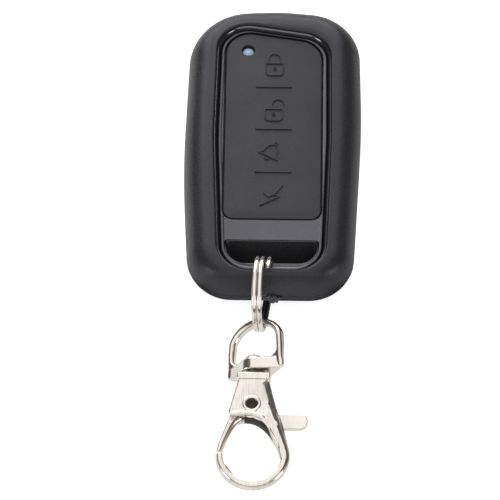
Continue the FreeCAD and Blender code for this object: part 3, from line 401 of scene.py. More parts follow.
caseShape = {
    "corners": [(0, 35.4, 45), (-17.5, 33.3, 13.0), (-18.345, -5.0, 240), (-16.5, -35.25, 9.2),
                (16.1, -35.25, 9.2), (18.27, 5.5, 240), (17.9, 33.6, 11.2)],
    "opening": [(-11.75, 30.15, 6.6), (-12.2, 0, 100), (-10.7, -33.3, 6.9),
                (10.7, -33.3, 6.9), (11.9, 0, 100), (11.85, 26.15, 6.5)],
    "points": 256, "seam": 5.8, "bevel": 0.2, "shoulder": 6.5, "crown": 12.42, "top": 12.5, "lip": 0.32,
    "roll": 5.8, "rollShare": 0.92, "fullness": 2.05, "wall": 1.6, "roof": 10.5,
    "rearRoll": (2.6, 7.8), "rearRise": (2.6, 5.5), "rearTuck": 0.12, "rearFade": (-21.0, -30.5),
    "hollow": [(4.6, 1.5), (3.0, 2.3), (1.8, 3.6), (1.6, 4.5)], "barFoot": 3.0,
    "bar": [(-14.5, -24.3, 0.4), (-14.5, -33.5, 5.8), (14.5, -33.5, 5.8), (14.5, -24.3, 0.4)],
    "recess": [(-4.9, -27.25, 0.3), (-4.9, -36.5, 0.3), (1.3, -36.5, 0.3), (1.3, -27.25, 0.3)],
    "recessTop": 3.3, "barTop": 9.58,
    "screws": [(-13.6, -21.55), (13.6, -21.55), (0.0, 31.35)], "screwSeat": (1.7, 1.55),
}


def frontCover():
    shape = caseShape
    outer = roundLoop(shape["corners"], shape["points"])
    opening = roundLoop(shape["opening"], 1200)
    openNormals = outwardNormals(opening)
    rows = []
    for point, normal in zip(outer, outwardNormals(outer)):
        start = point - normal * 2.0
        near = min(range(len(opening)), key=lambda i: (opening[i] - start).length_squared)
        gap = (point - opening[near]).length
        reach = min(shape["roll"], gap * shape["rollShare"])
        rows.append((point, normal, opening[near], openNormals[near], gap, reach))

    def outerAt(inset, z):
        return [Vector((*(p - n * inset), z)) for p, n, q, m, gap, reach in rows]

    def openAt(offset, z):
        return [Vector((*(q + m * offset), z)) for p, n, q, m, gap, reach in rows]

    crown, shoulder, lip = shape["crown"], shape["shoulder"], shape["lip"]
    rings = [outerAt(shape["wall"], shape["seam"]), outerAt(shape["bevel"], shape["seam"]),
             outerAt(0.0, shape["seam"] + shape["bevel"])]
    steps = 14
    power = 2 / shape["fullness"]
    for k in range(steps + 1):
        turn = 0.5 * pi * k / steps
        inward = 1 - cos(turn) ** power
        height = shoulder + (crown - shoulder) * sin(turn) ** power
        rings.append([Vector((*(p - n * reach * inward), height)) for p, n, q, m, gap, reach in rows])
    for share in (0.5, 1.0):
        rise = sin(pi * share) * (shape["top"] - crown)
        ring = []
        for p, n, q, m, gap, reach in rows:
            flat = (p - n * reach).lerp(q + m * lip, share)
            ring.append(Vector((*flat, crown + rise * min(1.0, (gap - reach) / 1.5))))
        rings.append(ring)
    for k in range(1, 4):
        turn = 0.5 * pi * k / 3
        rings.append(openAt(lip * (1 - sin(turn)), crown - lip * (1 - cos(turn))))
    rings += [openAt(0.0, shape["roof"]), openAt(0.9, shape["roof"]),
              outerAt(shape["wall"], shape["roof"] - 0.4)]
    cover = skinRings(rings, bridged=True)
    finishPiece(cover, "frontCover", "case", "shellPlastic", ("front_shell",), 50.0)


frontCover()


# The end and its corners roll under further than the sides
def rearCover():
    shape = caseShape
    outer = roundLoop(shape["corners"], shape["points"])
    first, last = shape["rearFade"]
    tuck = shape["rearTuck"]
    (near, far), (low, high) = shape["rearRoll"], shape["rearRise"]
    rows = []
    for point, normal in zip(outer, outwardNormals(outer)):
        share = min(1.0, max(0.0, (point.y - first) / (last - first)))
        rows.append((point, normal, share * share * (3 - 2 * share)))

    def inner(inset, z):
        return [Vector((*(p - n * (inset + tuck * share)), z)) for p, n, share in rows]

    def rolled(turn):
        ring = []
        for p, n, share in rows:
            flat = p - n * ((near + (far - near) * share) * (1 - cos(turn)) + tuck * share)
            ring.append(Vector((*flat, (low + (high - low) * share) * (1 - sin(turn)))))
        return ring

    rings = [inner(inset, z) for inset, z in shape["hollow"]]
    rings += [inner(shape["wall"], shape["seam"]), inner(shape["bevel"], shape["seam"]),
              inner(0.0, shape["seam"] - shape["bevel"])]
    steps = 12
    rings += [rolled(0.5 * pi * k / steps) for k in range(steps + 1)]
    cover = skinRings(rings)
    combine(cover, prism(roundLoop(shape["bar"], 160), shape["barFoot"], shape["barTop"]), "UNION")
    combine(cover, prism(roundLoop(bezelShape["slot"], 160), -1.0, 14.0))
    combine(cover, prism(roundLoop(shape["recess"], 80), -1.0, shape["recessTop"]))
    radius, depth = shape["screwSeat"]
    for x, y in shape["screws"]:
        combine(cover, turned([(radius, -1.0), (radius, depth)], (x, y, 0.0), count=40))
    finishPiece(cover, "rearCover", "case", "shellPlastic", ("rear_shell",), 40.0)


# The bead, from the groove inwards: offset from the groove's inner edge and height under its crest
bezelShape = {
    "points": 288, "under": 9.6, "floor": 10.5, "groove": 0.9, "crest": 11.3, "deck": 11.14, "edge": 0.4,
    "bead": [(0.02, 0.26), (0.09, 0.1), (0.22, 0.01), (0.38, 0.0), (0.54, 0.03)],
    "slot": [(-9.45, -25.15, 0.6), (-9.45, -31.55, 4.7), (9.45, -31.55, 4.7), (9.45, -25.15, 0.6)],
    "keys": [(-9.95, 28.2, 5.0), (-9.8, -19.95, 2.0), (9.7, -19.95, 2.0), (9.95, 24.85, 5.2)],
    "windowGap": 0.38,
}
# The glossy slope between the case's opening and the groove: offsets from the opening and heights
wallShape = {
    "back": [(-0.04, 10.6), (-0.04, 11.7), (-0.1, 11.95), (-0.2, 11.98)], "top": (-0.3, 11.9), "run": 0.5,
    "fall": 1.15, "foot": 10.62,
}


def keypadLoop(grow, count):
    loop = roundLoop(bezelShape["keys"], count)
    return [point + normal * grow for point, normal in zip(loop, outwardNormals(loop))]


def bezelInsert():
    shape = bezelShape
    loop = roundLoop(caseShape["opening"], shape["points"])
    outward = outwardNormals(loop)

    edge, groove, deck = shape["edge"], shape["groove"], shape["deck"]
    under = shape["floor"] - 0.03
    profile = [(edge, shape["under"]), (edge, under), (0.03 - groove, under), (-groove, shape["floor"] + 0.2)]
    profile += [(-groove - inward, shape["crest"] - drop) for inward, drop in shape["bead"]]
    profile += [(-groove - 0.68, deck + 0.05), (-groove - 0.8, deck), (-groove - 0.9, deck)]
    insert = skinRings([offsetRing(loop, outward, offset, z) for offset, z in profile])
    combine(insert, prism(keypadLoop(shape["windowGap"], 160), 8.0, 14.0))
    combine(insert, prism(roundLoop(shape["slot"], 160), 8.0, 14.0))
    insert.data.materials.append(finishes["rimPlastic"])
    insert.data.materials.append(finishes["deckPlastic"])
    for face in insert.data.polygons:
        face.material_index = 1 if face.normal.z > 0.99 and face.center.z > deck - 0.01 else 0
    finishPiece(insert, "bezelInsert", "case", "rimPlastic", ("center_bezel",), 28.0)


bezelInsert()


def openingWall():
    shape = wallShape
    loop = roundLoop(caseShape["opening"], bezelShape["points"])
    outward = outwardNormals(loop)
    offset, top = shape["top"]
    profile = shape["back"] + [(offset - shape["run"] * k / 3, top - shape["fall"] * k / 3) for k in range(4)]
    profile.append((0.03 - bezelShape["groove"], shape["foot"]))
    wall = skinRings([offsetRing(loop, outward, a, z) for a, z in profile], bridged=True)
    finishPiece(wall, "openingWall", "case", "wallGloss", (), 50.0)


openingWall()

rearCover()

ledgeShape = {
    "levels": (9.55, 9.95), "edge": 0.12,
    "inner": [(-9.12, -24.2, 0.4), (-9.12, -30.0, 3.9), (9.12, -30.0, 3.9), (9.12, -24.2, 0.4)],
    "liner": [(-9.2, -25.0, 0.1), (-9.2, -25.4, 0.1), (9.2, -25.4, 0.1), (9.2, -25.0, 0.1)],
    "linerLevels": (1.4, 10.98), "rib": [(0.34, 4.0), (0.34, 10.7), (0.2, 10.9)], "ribs": [-8.85, 8.85],
    "ribLine": -25.35,
}


# A ledge inside the slot, wide at its near side, and a lined far side with two ribs
def slotLedge():
    shape = ledgeShape
    ledge = prism(roundLoop(bezelShape["slot"], 160), *shape["levels"])
    combine(ledge, prism(roundLoop(shape["inner"], 160), 8.0, 12.0))
    softEdges(ledge, shape["edge"], 2)
    liner = prism(roundLoop(shape["liner"], 40), *shape["linerLevels"])
    ribs = [turned(shape["rib"], (x, shape["ribLine"], 0.0), count=24) for x in shape["ribs"]]
    ledge = joinPieces([ledge, liner] + ribs)
    finishPiece(ledge, "slotLedge", "case", "slotPlastic", (), 40.0)


slotLedge()

# The torn end of the moulding's feed on the rim: lumps of x, y, z and radius
stubShape = {"lumps": [(0.35, -35.35, 5.5, 0.95), (-0.35, -35.25, 6.0, 0.6), (1.0, -35.5, 5.3, 0.62),
                       (1.55, -35.35, 5.7, 0.42), (1.95, -35.3, 5.5, 0.3), (0.3, -35.7, 4.9, 0.5)],
             "grain": 0.09, "torn": 0.44, "tornScale": 0.5}


def gateStub():
    lumps = []
    for x, y, z, radius in stubShape["lumps"]:
        deselectAll()
        bpy.ops.mesh.primitive_ico_sphere_add(subdivisions=3, radius=radius, location=(x, y, z))
        bpy.ops.object.transform_apply(location=True, rotation=True, scale=True)
        lumps.append(bpy.context.object)
    stub = meltTogether(lumps, stubShape["grain"], 1)
    pattern = bpy.data.textures.new("tornPattern", "CLOUDS")
    pattern.noise_scale = stubShape["tornScale"]
    modify(stub, "DISPLACE", texture=pattern, strength=stubShape["torn"], texture_coords="LOCAL")
    finishPiece(stub, "gateStub", "case", "rimPlastic", (), 60.0)


gateStub()

# keypad

# The first key's halves meet at firstMiddle, below the lamp's window
padShape = {"foot": 9.9, "top": 11.15, "edge": 0.22, "splits": (12.75, 1.879, -8.993), "flex": (0.7, 1.5),
            "window": (-5.4, 22.95, 1.42), "firstMiddle": 19.0}
keyNames = ["lock", "unlock", "bell", "flash"]


def wholePad():
    loop = keypadLoop(0.0, 200)
    outward = outwardNormals(loop)
    edge, top = padShape["edge"], padShape["top"]
    profile = [(0.0, padShape["foot"]), (0.0, top - edge), (-0.3 * edge, top - 0.3 * edge), (-edge, top)]
    pad = skinRings([offsetRing(loop, outward, offset, z) for offset, z in profile])
    x, y, radius = padShape["window"]
    combine(pad, turned([(radius, 8.0), (radius, 13.0)], (x, y, 0.0)))
    return pad


# What lies outside two levels of y is cut off, with closed cuts; creases only divide faces
def slicePad(pad, low, high, creases):
    makeActive(pad)
    bpy.ops.object.duplicate()
    part = bpy.context.object
    setMode("EDIT")
    cuts = [(low, True, False), (high, False, True)] + [(level, False, False) for level in creases]
    for level, below, above in cuts:
        bpy.ops.mesh.select_all(action="SELECT")
        bpy.ops.mesh.bisect(plane_co=(0, level, 0), plane_no=(0, 1, 0), use_fill=below or above,
                            clear_inner=below, clear_outer=above, threshold=0.00001)
    setMode("OBJECT")
    return part


def keypad():
    pad = wholePad()
    ends = [corner[1] for corner in bezelShape["keys"]]
    levels = [max(ends) + 1.0, *padShape["splits"], min(ends) - 1.0]
    for index, key in enumerate(keyNames):
        high, low = levels[index], levels[index + 1]
        middle = (high + max(low, min(ends))) / 2 if index else padShape["firstMiddle"]
        halves = (("Upper", high, middle, high, -1, index > 0), ("Lower", middle, low, low, 1, index < 3))
        for side, top, bottom, split, sign, held in halves:
            creases = [split + sign * reach for reach in padShape["flex"]] if held else []
            part = slicePad(pad, bottom, top, creases)
            body = "key_" + key
            finishPiece(part, key + "Pad" + side, None if held else body, "keyRubber",
                        (body,) if side == "Upper" else (), 30.0)
            if held:
                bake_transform(part)
    bpy.data.objects.remove(pad)


keypad()


# A raised line of the keypad: an upright ribbon given its width
def raisedLine(points, closed, width, low, high):
    line = newCircle(3)
    mesh = bmesh.new()
    corners = [mesh.verts.new((x, y, low)) for x, y in points]
    for a, b in zip(corners, corners[1:] + (corners[:1] if closed else [])):
        mesh.edges.new((a, b))
    mesh.to_mesh(line.data)
    mesh.free()
    setMode("EDIT")
    bpy.ops.mesh.select_all(action="SELECT")
    bpy.ops.mesh.extrude_edges_move(TRANSFORM_OT_translate={"value": (0, 0, high - low)})
    bpy.ops.mesh.select_all(action="SELECT")
    bpy.ops.mesh.normals_make_consistent(inside=False)
    setMode("OBJECT")
    modify(line, "SOLIDIFY", thickness=width, offset=0.0, use_even_offset=True, thickness_clamp=2.0)
    softEdges(line, 0.05, 2, 60.0)
    return line


def arcPoints(x, y, across, first, last, steps, along=None):
    turns = [radians(first + (last - first) * k / steps) for k in range(steps + 1)]
    return [(x + across * cos(turn), y + (along or across) * sin(turn)) for turn in turns]


# Each mark's place and size, the widths of its lines, and the points of the free ones
markShape = {
    "levels": (11.0, 11.42), "shift": 0.45, "band": 0.62, "shackleBand": 0.558,
    "corner": 0.9, "shackle": (1.2, 1.35), "keyhole": (0.56, 0.32, 0.18),
    "lock": {"x": 0.15, "y": 15.85, "half": 1.85, "high": 3.1, "aside": 0.0, "legs": (0.0, 0.0)},
    "unlock": {"x": 0.05, "y": 4.1, "half": 1.85, "high": 2.95, "aside": 0.9, "legs": (1.1, 1.0)},
    "bellPlace": (-0.3, -3.6, -28.0, 1.12),
    "bell": [(-1.9, -1.35), (-1.35, -0.75), (-1.1, 0.4), (-0.75, 1.15), (0.0, 1.5), (0.75, 1.15), (1.1, 0.4),
             (1.35, -0.75), (1.9, -1.35)],
    "bolt": [(2.1, -12.1), (0.35, -14.6), (1.35, -15.1), (-2.6, -17.3)],
    "head": [(-1.75, -14.1), (-0.85, -15.1), (0.35, -14.6)],
    "dash": (-3.7, 3.8, 0.5, 0.28),
}


# A padlock; an open one has its shackle aside, with legs that end above the body
def lockMark(x, y, half, high, aside, legs):
    r = markShape["corner"]
    body = ([(x - half, y + high), (x - half, y + r)] + arcPoints(x - half + r, y + r, r, 180, 270, 4)[1:]
            + arcPoints(x + half - r, y + r, r, 270, 360, 4) + [(x + half, y + high)])
    reach, rise = markShape["shackle"]
    shackle = arcPoints(x + aside, y + high + rise, reach, 180, 0, 8)
    shackle = ([(x + aside - reach, y + high + legs[0])] + shackle
               + [(x + aside + reach, y + high + legs[1])])
    share, radius, width = markShape["keyhole"]
    return [(body, True, markShape["band"]), (shackle, False, markShape["shackleBand"]),
            (arcPoints(x, y + high * share, radius, 0, 315, 7), True, width)]


def bellMark():
    x, y, tilt, size = markShape["bellPlace"]
    c, s = cos(radians(tilt)), sin(radians(tilt))

    def put(points):
        return [(x + size * (a * c - b * s), y + size * (a * s + b * c)) for a, b in points]
    return [(put(markShape["bell"]), True, 0.42), (put(arcPoints(0, -1.6, 0.55, 200, 340, 5)), False, 0.3),
            (put(arcPoints(0, 1.75, 0.25, 0, 315, 7)), True, 0.2)]


def raisedMarks():
    marks = {
        "lock": lockMark(**markShape["lock"]),
        "unlock": lockMark(**markShape["unlock"]),
        "bell": bellMark(),
        "flash": [(markShape["bolt"], False, 0.42), (markShape["head"], False, 0.36)],
    }
    for key, lines in marks.items():
        pieces = []
        for points, closed, width in lines:
            moved = [(x, y + markShape["shift"]) for x, y in points]
            pieces.append(raisedLine(moved, closed, width, *markShape["levels"]))
        mark = joinPieces(pieces)
        finishPiece(mark, key + "Mark", "key_" + key, "keyRubber", (), 40.0)
    left, right, above, width = markShape["dash"]
    dashes = [raisedLine([(left, y + above), (right, y + above)], False, width, *markShape["levels"])
              for y in padShape["splits"]]
    finishPiece(joinPieces(dashes), "padDividers", "case", "keyRubber", (), 40.0)


raisedMarks()

lensShape = {"profile": [(1.25, 6.0), (1.25, 10.05), (1.2, 10.28), (1.0, 10.4), (0.6, 10.47), (0.2, 10.5)]}


def ledWindow():
    x, y, radius = padShape["window"]
    lens = turned(lensShape["profile"], (x, y, 0.0))
    finishPiece(lens, "ledWindow", "case", "paleLens", ("led_lens",), 50.0)


ledWindow()

# ring, eye and clasp; the eye and the clasp have -Y along the clasp

chain = {"origin": (-3.2, -40.683, 4.75), "tilt": 5.0, "roll": 32.5, "claspShift": 0.4,
         "eyeShift": (0.42, -0.2, 0.0)}
chainPlace = Matrix.Translation(chain["origin"]) @ Matrix.Rotation(radians(chain["tilt"]), 4, "X")
claspPlace = chainPlace @ Matrix.Translation((0.0, chain["claspShift"], 0.0))
eyePlace = (Matrix.Translation(chain["eyeShift"]) @ chainPlace
            @ Matrix.Rotation(radians(-chain["roll"]), 4, "Y"))


# An oval section of width and depth 1, fuller than an ellipse above 2, on each side by its own measure
def fullSection(inner, outer, count=28):
    section = []
    for k in range(count):
        turn = 2 * pi * k / count
        c, s = cos(turn), sin(turn)
        power = 2 / (inner if c < 0 else outer)
        section.append((copysign(abs(c) ** power, c) / 2, copysign(abs(s) ** power, s) / 2))
    return section


# A bar through stations of x, y, width, depth and level; the section may depend on the way along it
def sweptBar(stations, section):
    rings = []
    points = [Vector((s[0], s[1], 0.0)) for s in stations]
    last = len(points) - 1
    for i, (x, y, width, depth, *level) in enumerate(stations):
        along = (points[min(i + 1, last)] - points[max(i - 1, 0)]).normalized()
        side = Vector((along.y, -along.x, 0.0))
        z = level[0] if level else 0.0
        outline = section(i / last) if callable(section) else section
        rings.append([points[i] + side * (a * width) + Vector((0, 0, b * depth + z)) for a, b in outline])
    return skinRings(rings)


# Stations along a smooth curve through the given ones
def smoothStations(marks, steps):
    made = []
    last = len(marks) - 1
    for i in range(last):
        p0, p1, p2, p3 = marks[max(i - 1, 0)], marks[i], marks[i + 1], marks[min(i + 2, last)]
        for k in range(steps):
            t = k / steps
            made.append(tuple(0.5 * (2 * b + (c - a) * t + (2 * a - 5 * b + 4 * c - d) * t * t
                                     + (3 * b - a - 3 * c + d) * t ** 3)
                              for a, b, c, d in zip(p0, p1, p2, p3)))
    made.append(tuple(marks[last]))
    return made


# Two turns of wire and a little more; its first end lies to the right, over the bar inside the slot
# across: (degrees along the wire, place across the ring)
ringShape = {
    "centre": (-2.1, -35.8, 7.77), "yaw": 3.4, "lean": 4.3, "radius": 7.19, "width": 0.98, "thick": 0.94,
    "from": 167.0, "turn": 822.0, "steps": 320, "fullness": 2.5,
    "across": [(0, 1.9), (60, 1.85), (205, 0.52), (478, 0.52), (583, -0.52), (822, -0.52)],
}


def splitRingWire():
    shape = ringShape
    marks = shape["across"]
    section = fullSection(shape["fullness"], shape["fullness"], 20)
    rings = []
    for i in range(shape["steps"] + 1):
        along = shape["turn"] * i / shape["steps"]
        angle = radians(shape["from"] - along)
        for (a, x), (b, y) in zip(marks, marks[1:]):
            if a <= along <= b:
                t = (along - a) / (b - a)
                across = x + (y - x) * t * t * (3 - 2 * t)
        outward = Vector((cos(angle), sin(angle), 0.0))
        end = min(i, shape["steps"] - i)
        # the ends are rounded off
        slim = sqrt(min(1.0, (end + 0.6) / 2.2))
        rings.append([outward * (shape["radius"] + a * shape["thick"] * slim)
                      + Vector((0, 0, across + b * shape["width"] * slim)) for a, b in section])
    wire = skinRings(rings)
    place = (Matrix.Translation(shape["centre"]) @ Matrix.Rotation(radians(-shape["yaw"]), 4, "Z")
             @ Matrix.Rotation(radians(90 - shape["lean"]), 4, "Y"))
    finishPiece(wire, "splitRingWire", "ring", "wireNickel", ("split_ring",), 60.0, place)


splitRingWire()

eyeShape = {
    "half": 5.6, "wire": 1.4, "depth": 2.05, "foot": -11.35, "baseTop": -8.8, "grain": 0.1, "fullness": 2.3,
    "bore": 1.3, "recess": 2.8, "recessDepth": 1.4, "tips": 0.75, "belly": 4.0, "baseHalf": (6.66, 3.7),
    # from the foot up: out from the leg's middle, height over the foot, width, depth
    "leg": [(0.2, 0.35, 1.3, 1.2), (0.1, 1.2, 1.6, 1.5), (0.0, 2.6, 1.4, 1.7)],
    "shoulder": [(0.0, -6.2), (-0.1, -4.8)], "archY": -5.0, "archHigh": 5.0,
    # where the legs meet the base: in from the leg's middle, height over the base, width, depth
    "web": [(1.2, -0.4, 2.6, 1.6), (0.5, 0.35, 1.7, 1.8), (0.1, 1.1, 1.3, 1.8)],
    "baseFoot": [(-0.3, 0.0), (-0.08, 0.08), (0.0, 0.3)],
    "baseRim": [(0.0, -0.45), (-0.12, -0.15), (-0.45, 0.0)],
}


def swivelEye():
    shape = eyeShape
    half, wire, depth, foot, top = (shape[key] for key in ("half", "wire", "depth", "foot", "baseTop"))
    section = fullSection(shape["fullness"], shape["fullness"])
    side = [(-half - out, foot + up, wide, deep) for out, up, wide, deep in shape["leg"]]
    side += [(-half - out, y, wire, depth) for out, y in shape["shoulder"]]
    arc = arcPoints(0.0, shape["archY"], half, 165, 15, 10, shape["archHigh"])
    arch = [(x, y, wire, depth) for x, y in arc]
    other = [(-x, y, a, b) for x, y, a, b in side[::-1]]
    loop = sweptBar(smoothStations(side + arch + other, 4), section)
    long, wide = shape["baseHalf"]
    plan = roundLoop([(-long, 0, shape["tips"]), (0, -wide, shape["belly"]), (long, 0, shape["tips"]),
                      (0, wide, shape["belly"])], 96)
    outward = outwardNormals(plan)
    profile = [(offset, foot + up) for offset, up in shape["baseFoot"]]
    profile += [(offset, top + up) for offset, up in shape["baseRim"]]
    rings = [[Vector((p.x, y, p.y)) for p in offsetRing(plan, outward, offset, 0.0)] for offset, y in profile]
    base = skinRings(rings)
    webs = []
    for sign in (-1, 1):
        web = [(sign * (half - inward), top + up, wide, deep) for inward, up, wide, deep in shape["web"]]
        webs.append(sweptBar(smoothStations(web, 4), section))
    eye = meltTogether([loop, base] + webs, shape["grain"])
    for radius, end in ((shape["recess"], foot + shape["recessDepth"]), (shape["bore"], shape["archY"])):
        combine(eye, turned([(radius, foot - 2.0), (radius, end)], axis="Y"))
    finishPiece(eye, "swivelEyeCasting", "eye", "castNickel", ("swivel_eye",), 35.0, eyePlace)


swivelEye()


# The head, from the seat up: radius and height over the seat
postShape = {
    "stem": (0.93, -13.9), "seat": -9.12,
    "head": [(0.93, 0.0), (1.7, 0.0), (1.86, 0.12), (1.82, 0.4), (1.6, 0.75), (1.15, 1.05), (0.55, 1.19),
             (0.1, 1.2)],
}


def swivelPost():
    profile = [postShape["stem"]] + [(radius, postShape["seat"] + up) for radius, up in postShape["head"]]
    post = turned(profile, axis="Y")
    finishPiece(post, "swivelPostTurned", "clasp", "castNickel", ("swivel_post",), 50.0, claspPlace)


swivelPost()

claspShape = {
    "grain": 0.105, "rivet": (-0.25, -19.325, 0.0), "rivetBore": 1.46,
    "body": [(-2.85, -13.3, 0.5), (-4.95, -21.5, 0.75), (-2.6, -21.7, 1.2), (0.9, -21.4, 2.2),
             (2.9, -23.0, 2.0), (3.4, -24.0, 0.4), (5.3, -24.3, 0.4), (5.3, -22.2, 5.0), (2.95, -13.3, 0.5)],
    "bodyHalf": 2.1,
    "cavity": [(-9, -16.3, 0.4), (-9, -24.3, 0.4), (9, -24.3, 0.4), (9, -16.3, 0.4)], "cavityHalf": 1.15,
    # the rounding of an outer flank: share of its width and of its drop
    "flank": [(0.0, 1.0), (0.05, 0.88), (0.3, 0.52), (0.55, 0.24), (0.8, 0.06), (1.0, 0.0)],
    # a flank's width and drop, and what they gain where it faces right
    "flankWide": (0.38, 1.9), "flankHigh": (0.38, 0.62),
    "hookStart": [(2.75, -19.0, 2.8, 4.26), (3.5, -21.2, 3.1, 4.3), (4.2, -23.2, 3.1, 4.36),
                  (4.95, -25.2, 2.75, 4.1), (5.75, -27.2, 2.2, 3.3)],
    "hookY": -29.48, "hookRadius": (6.45, 6.5), "hookWide": (1.45, 0.25), "hookDeep": 2.4,
    "outerFall": 0.3, "outerWide": (0.56, 0.4), "narrows": (0.3, 0.6),
    # the raised lip along the arch and round the hook: x, y, width, depth, level
    "lip": [(-4.45, -21.55, 0.8, 0.75, 1.85), (-3.2, -21.5, 0.95, 0.9, 1.95), (-1.6, -21.25, 1.0, 0.95, 1.95),
            (-0.2, -21.35, 1.0, 0.95, 1.95), (1.2, -21.9, 1.0, 0.95, 1.9), (2.5, -22.95, 1.0, 0.95, 1.8),
            (3.7, -24.5, 1.0, 0.95, 1.6), (4.65, -26.4, 0.95, 0.95, 1.25), (5.4, -28.4, 0.9, 0.9, 0.9)],
    "lipRadius": 5.95, "lipRound": (0.8, 0.8, 0.72),
    "shade": (0.55, 1.5, -0.1), "shadeWidths": (1.2, 1.3, 1.3, 1.2, 0.9, 0.4),
    "collar": [(-3.3, -12.4, 0.5), (-3.3, -14.05, 0.5), (3.4, -14.05, 0.5), (3.4, -12.4, 0.5)],
    "collarHalf": 2.55, "collarEdge": 0.45,
}


# Level on the inner side, falling away on the outer side, which narrows towards the tip
def hookSection(progress):
    first, last = claspShape["narrows"]
    near, far = claspShape["outerWide"]
    wide = near + (far - near) * min(1.0, max(0.0, (progress - first) / (last - first)))
    fall = claspShape["outerFall"]
    upper = [(-0.5, 0.0)] + [(-0.5 + wide * share, 0.5 - fall * drop) for share, drop in claspShape["flank"]]
    upper += [(0.36, 0.5), (0.46, 0.45), (0.5, 0.36), (0.5, 0.0)]
    return upper + [(a, -b) for a, b in upper[-2:0:-1]]


def claspBody():
    shape = claspShape
    plan = roundLoop(shape["body"], 220)
    outward = outwardNormals(plan)
    rings = []
    for side, order in ((-1, shape["flank"][::-1]), (1, shape["flank"])):
        for share, drop in order:
            ring = []
            for point, normal in zip(plan, outward):
                facing = max(0.0, normal.x) ** 0.7
                wide = shape["flankWide"][0] + shape["flankWide"][1] * facing
                high = shape["flankHigh"][0] + shape["flankHigh"][1] * facing
                ring.append(Vector((point.x - normal.x * wide * share, point.y - normal.y * wide * share,
                                    side * (shape["bodyHalf"] - high * drop))))
            rings.append(ring)
    body = skinRings(rings)
    half = shape["cavityHalf"]
    combine(body, prism(roundLoop(shape["cavity"], 80), -half, half))
    return body


def hookBar():
    shape = claspShape
    wide, more = shape["hookWide"]
    across, along = shape["hookRadius"]
    arc = arcPoints(0.0, shape["hookY"], across, 0, -180, 12, along)
    bend = [(x, y, wide + more * max(0.0, 1 - k / 4), shape["hookDeep"]) for k, (x, y) in enumerate(arc)]
    return sweptBar(smoothStations(shape["hookStart"] + bend, 4), hookSection)


def lipBars():
    shape = claspShape
    arc = arcPoints(0.0, shape["hookY"], shape["lipRadius"], -12, -152, 7)
    lip = shape["lip"] + [(x, y, *shape["lipRound"]) for x, y in arc]
    section = fullSection(2.4, 2.4)
    return [sweptBar(smoothStations([(a, b, c, d, side * e) for a, b, c, d, e in lip], 5), section)
            for side in (1, -1)]


def claspCasting():
    shape = claspShape
    half = shape["collarHalf"]
    collar = prism(roundLoop(shape["collar"], 64), -half, half)
    softEdges(collar, shape["collarEdge"], 3)
    parts = [claspBody(), hookBar(), *lipBars(), collar]
    casting = meltTogether(parts, shape["grain"])
    bore = shape["rivetBore"]
    combine(casting, turned([(bore, -4.0), (bore, 4.0)], shape["rivet"]))
    finishPiece(casting, "claspCasting", "clasp", "brushedNickel", ("clasp_hook",), 40.0,
                claspPlace)


claspCasting()


# A dark band in the cavity under the arch: painted shade
def archShade():
    shape = claspShape
    under, deep, level = shape["shade"]
    inside = [(mark[0], mark[1] - under, wide, deep, level)
              for mark, wide in zip(shape["lip"][2:], shape["shadeWidths"])]
    shade = sweptBar(smoothStations(inside, 4), fullSection(2.6, 2.6))
    finishPiece(shade, "archShade", "clasp", "boreShade", (), 40.0, claspPlace)


archShade()

gateShape = {
    "grain": 0.1, "bore": 1.5,
    "arm": [(-1.0, -18.6, 3.6, 2.0), (-2.2, -20.0, 3.4, 2.0), (-3.4, -21.6, 2.4, 2.0),
            (-4.4, -23.4, 1.75, 1.98), (-5.3, -25.6, 1.5, 1.95), (-6.0, -27.5, 1.4, 1.95),
            (-6.38, -28.98, 1.3, 1.95)],
    "hub": [(2.2, -1.0), (2.45, -0.8), (2.45, 0.8), (2.2, 1.0)],
    "neck": [(0.6, -20.2, 3.6, 2.0), (2.6, -21.3, 3.0, 1.9), (4.4, -22.1, 2.4, 1.6), (5.8, -22.25, 2.6, 1.4)],
    "tab": [(4.6, -20.62, 0.6), (4.6, -23.95, 0.6), (10.7, -23.85, 1.5), (10.7, -20.75, 1.3)],
    "tabEdge": [(-0.22, -0.68), (-0.05, -0.6), (0.0, -0.4), (0.0, 0.4), (-0.05, 0.6), (-0.22, 0.68)],
}


# The arm's outer side is full and its inner side narrows
def gateCasting():
    shape = gateShape
    pin = claspShape["rivet"]
    arm = sweptBar(smoothStations(shape["arm"], 5), fullSection(1.3, 3.2))
    hub = turned(shape["hub"], pin)
    neck = sweptBar(smoothStations(shape["neck"], 4), fullSection(3.0, 3.0))
    plan = roundLoop(shape["tab"], 100)
    outward = outwardNormals(plan)
    tab = skinRings([offsetRing(plan, outward, offset, z) for offset, z in shape["tabEdge"]])
    gate = meltTogether([arm, hub, neck, tab], shape["grain"])
    combine(gate, turned([(shape["bore"], -3.0), (shape["bore"], 3.0)], pin))
    finishPiece(gate, "gateCasting", "gate", "castNickel", ("gate_lever",), 40.0, claspPlace)


gateCasting()

rivetShape = {
    "head": [(1.44, -2.05), (1.72, -2.08), (1.8, -2.2), (1.68, -2.33), (1.42, -2.36), (1.2, -2.28),
             (1.14, -2.1)],
    # dull: the disc of painted shade inside the tube, its radius and half length
    "dull": (1.12, 0.6),
}


# A tube with rolled rims, closed inside by a dark disc that paints the shade in its bore
def hollowRivet():
    head, pin = rivetShape["head"], claspShape["rivet"]
    profile = head + [(radius, -z) for radius, z in head[::-1]]
    rivet = turned(profile, pin, count=56, bridged=True)
    finishPiece(rivet, "hollowRivet", "clasp", "castNickel", ("gate_rivet",), 60.0, claspPlace)
    radius, half = rivetShape["dull"]
    dull = turned([(radius, -half), (radius, half)], pin, count=40)
    finishPiece(dull, "rivetBoreShade", "clasp", "boreShade", (), 40.0, claspPlace)


hollowRivet()

screwShape = {
    "profile": [(0.2, 0.34), (1.1, 0.34), (1.5, 0.42), (1.6, 0.6), (1.6, 1.5), (0.85, 1.5), (0.85, 8.3),
                (0.3, 8.6)],
    "cross": (1.0, 0.2), "crossDepth": 0.95,
}


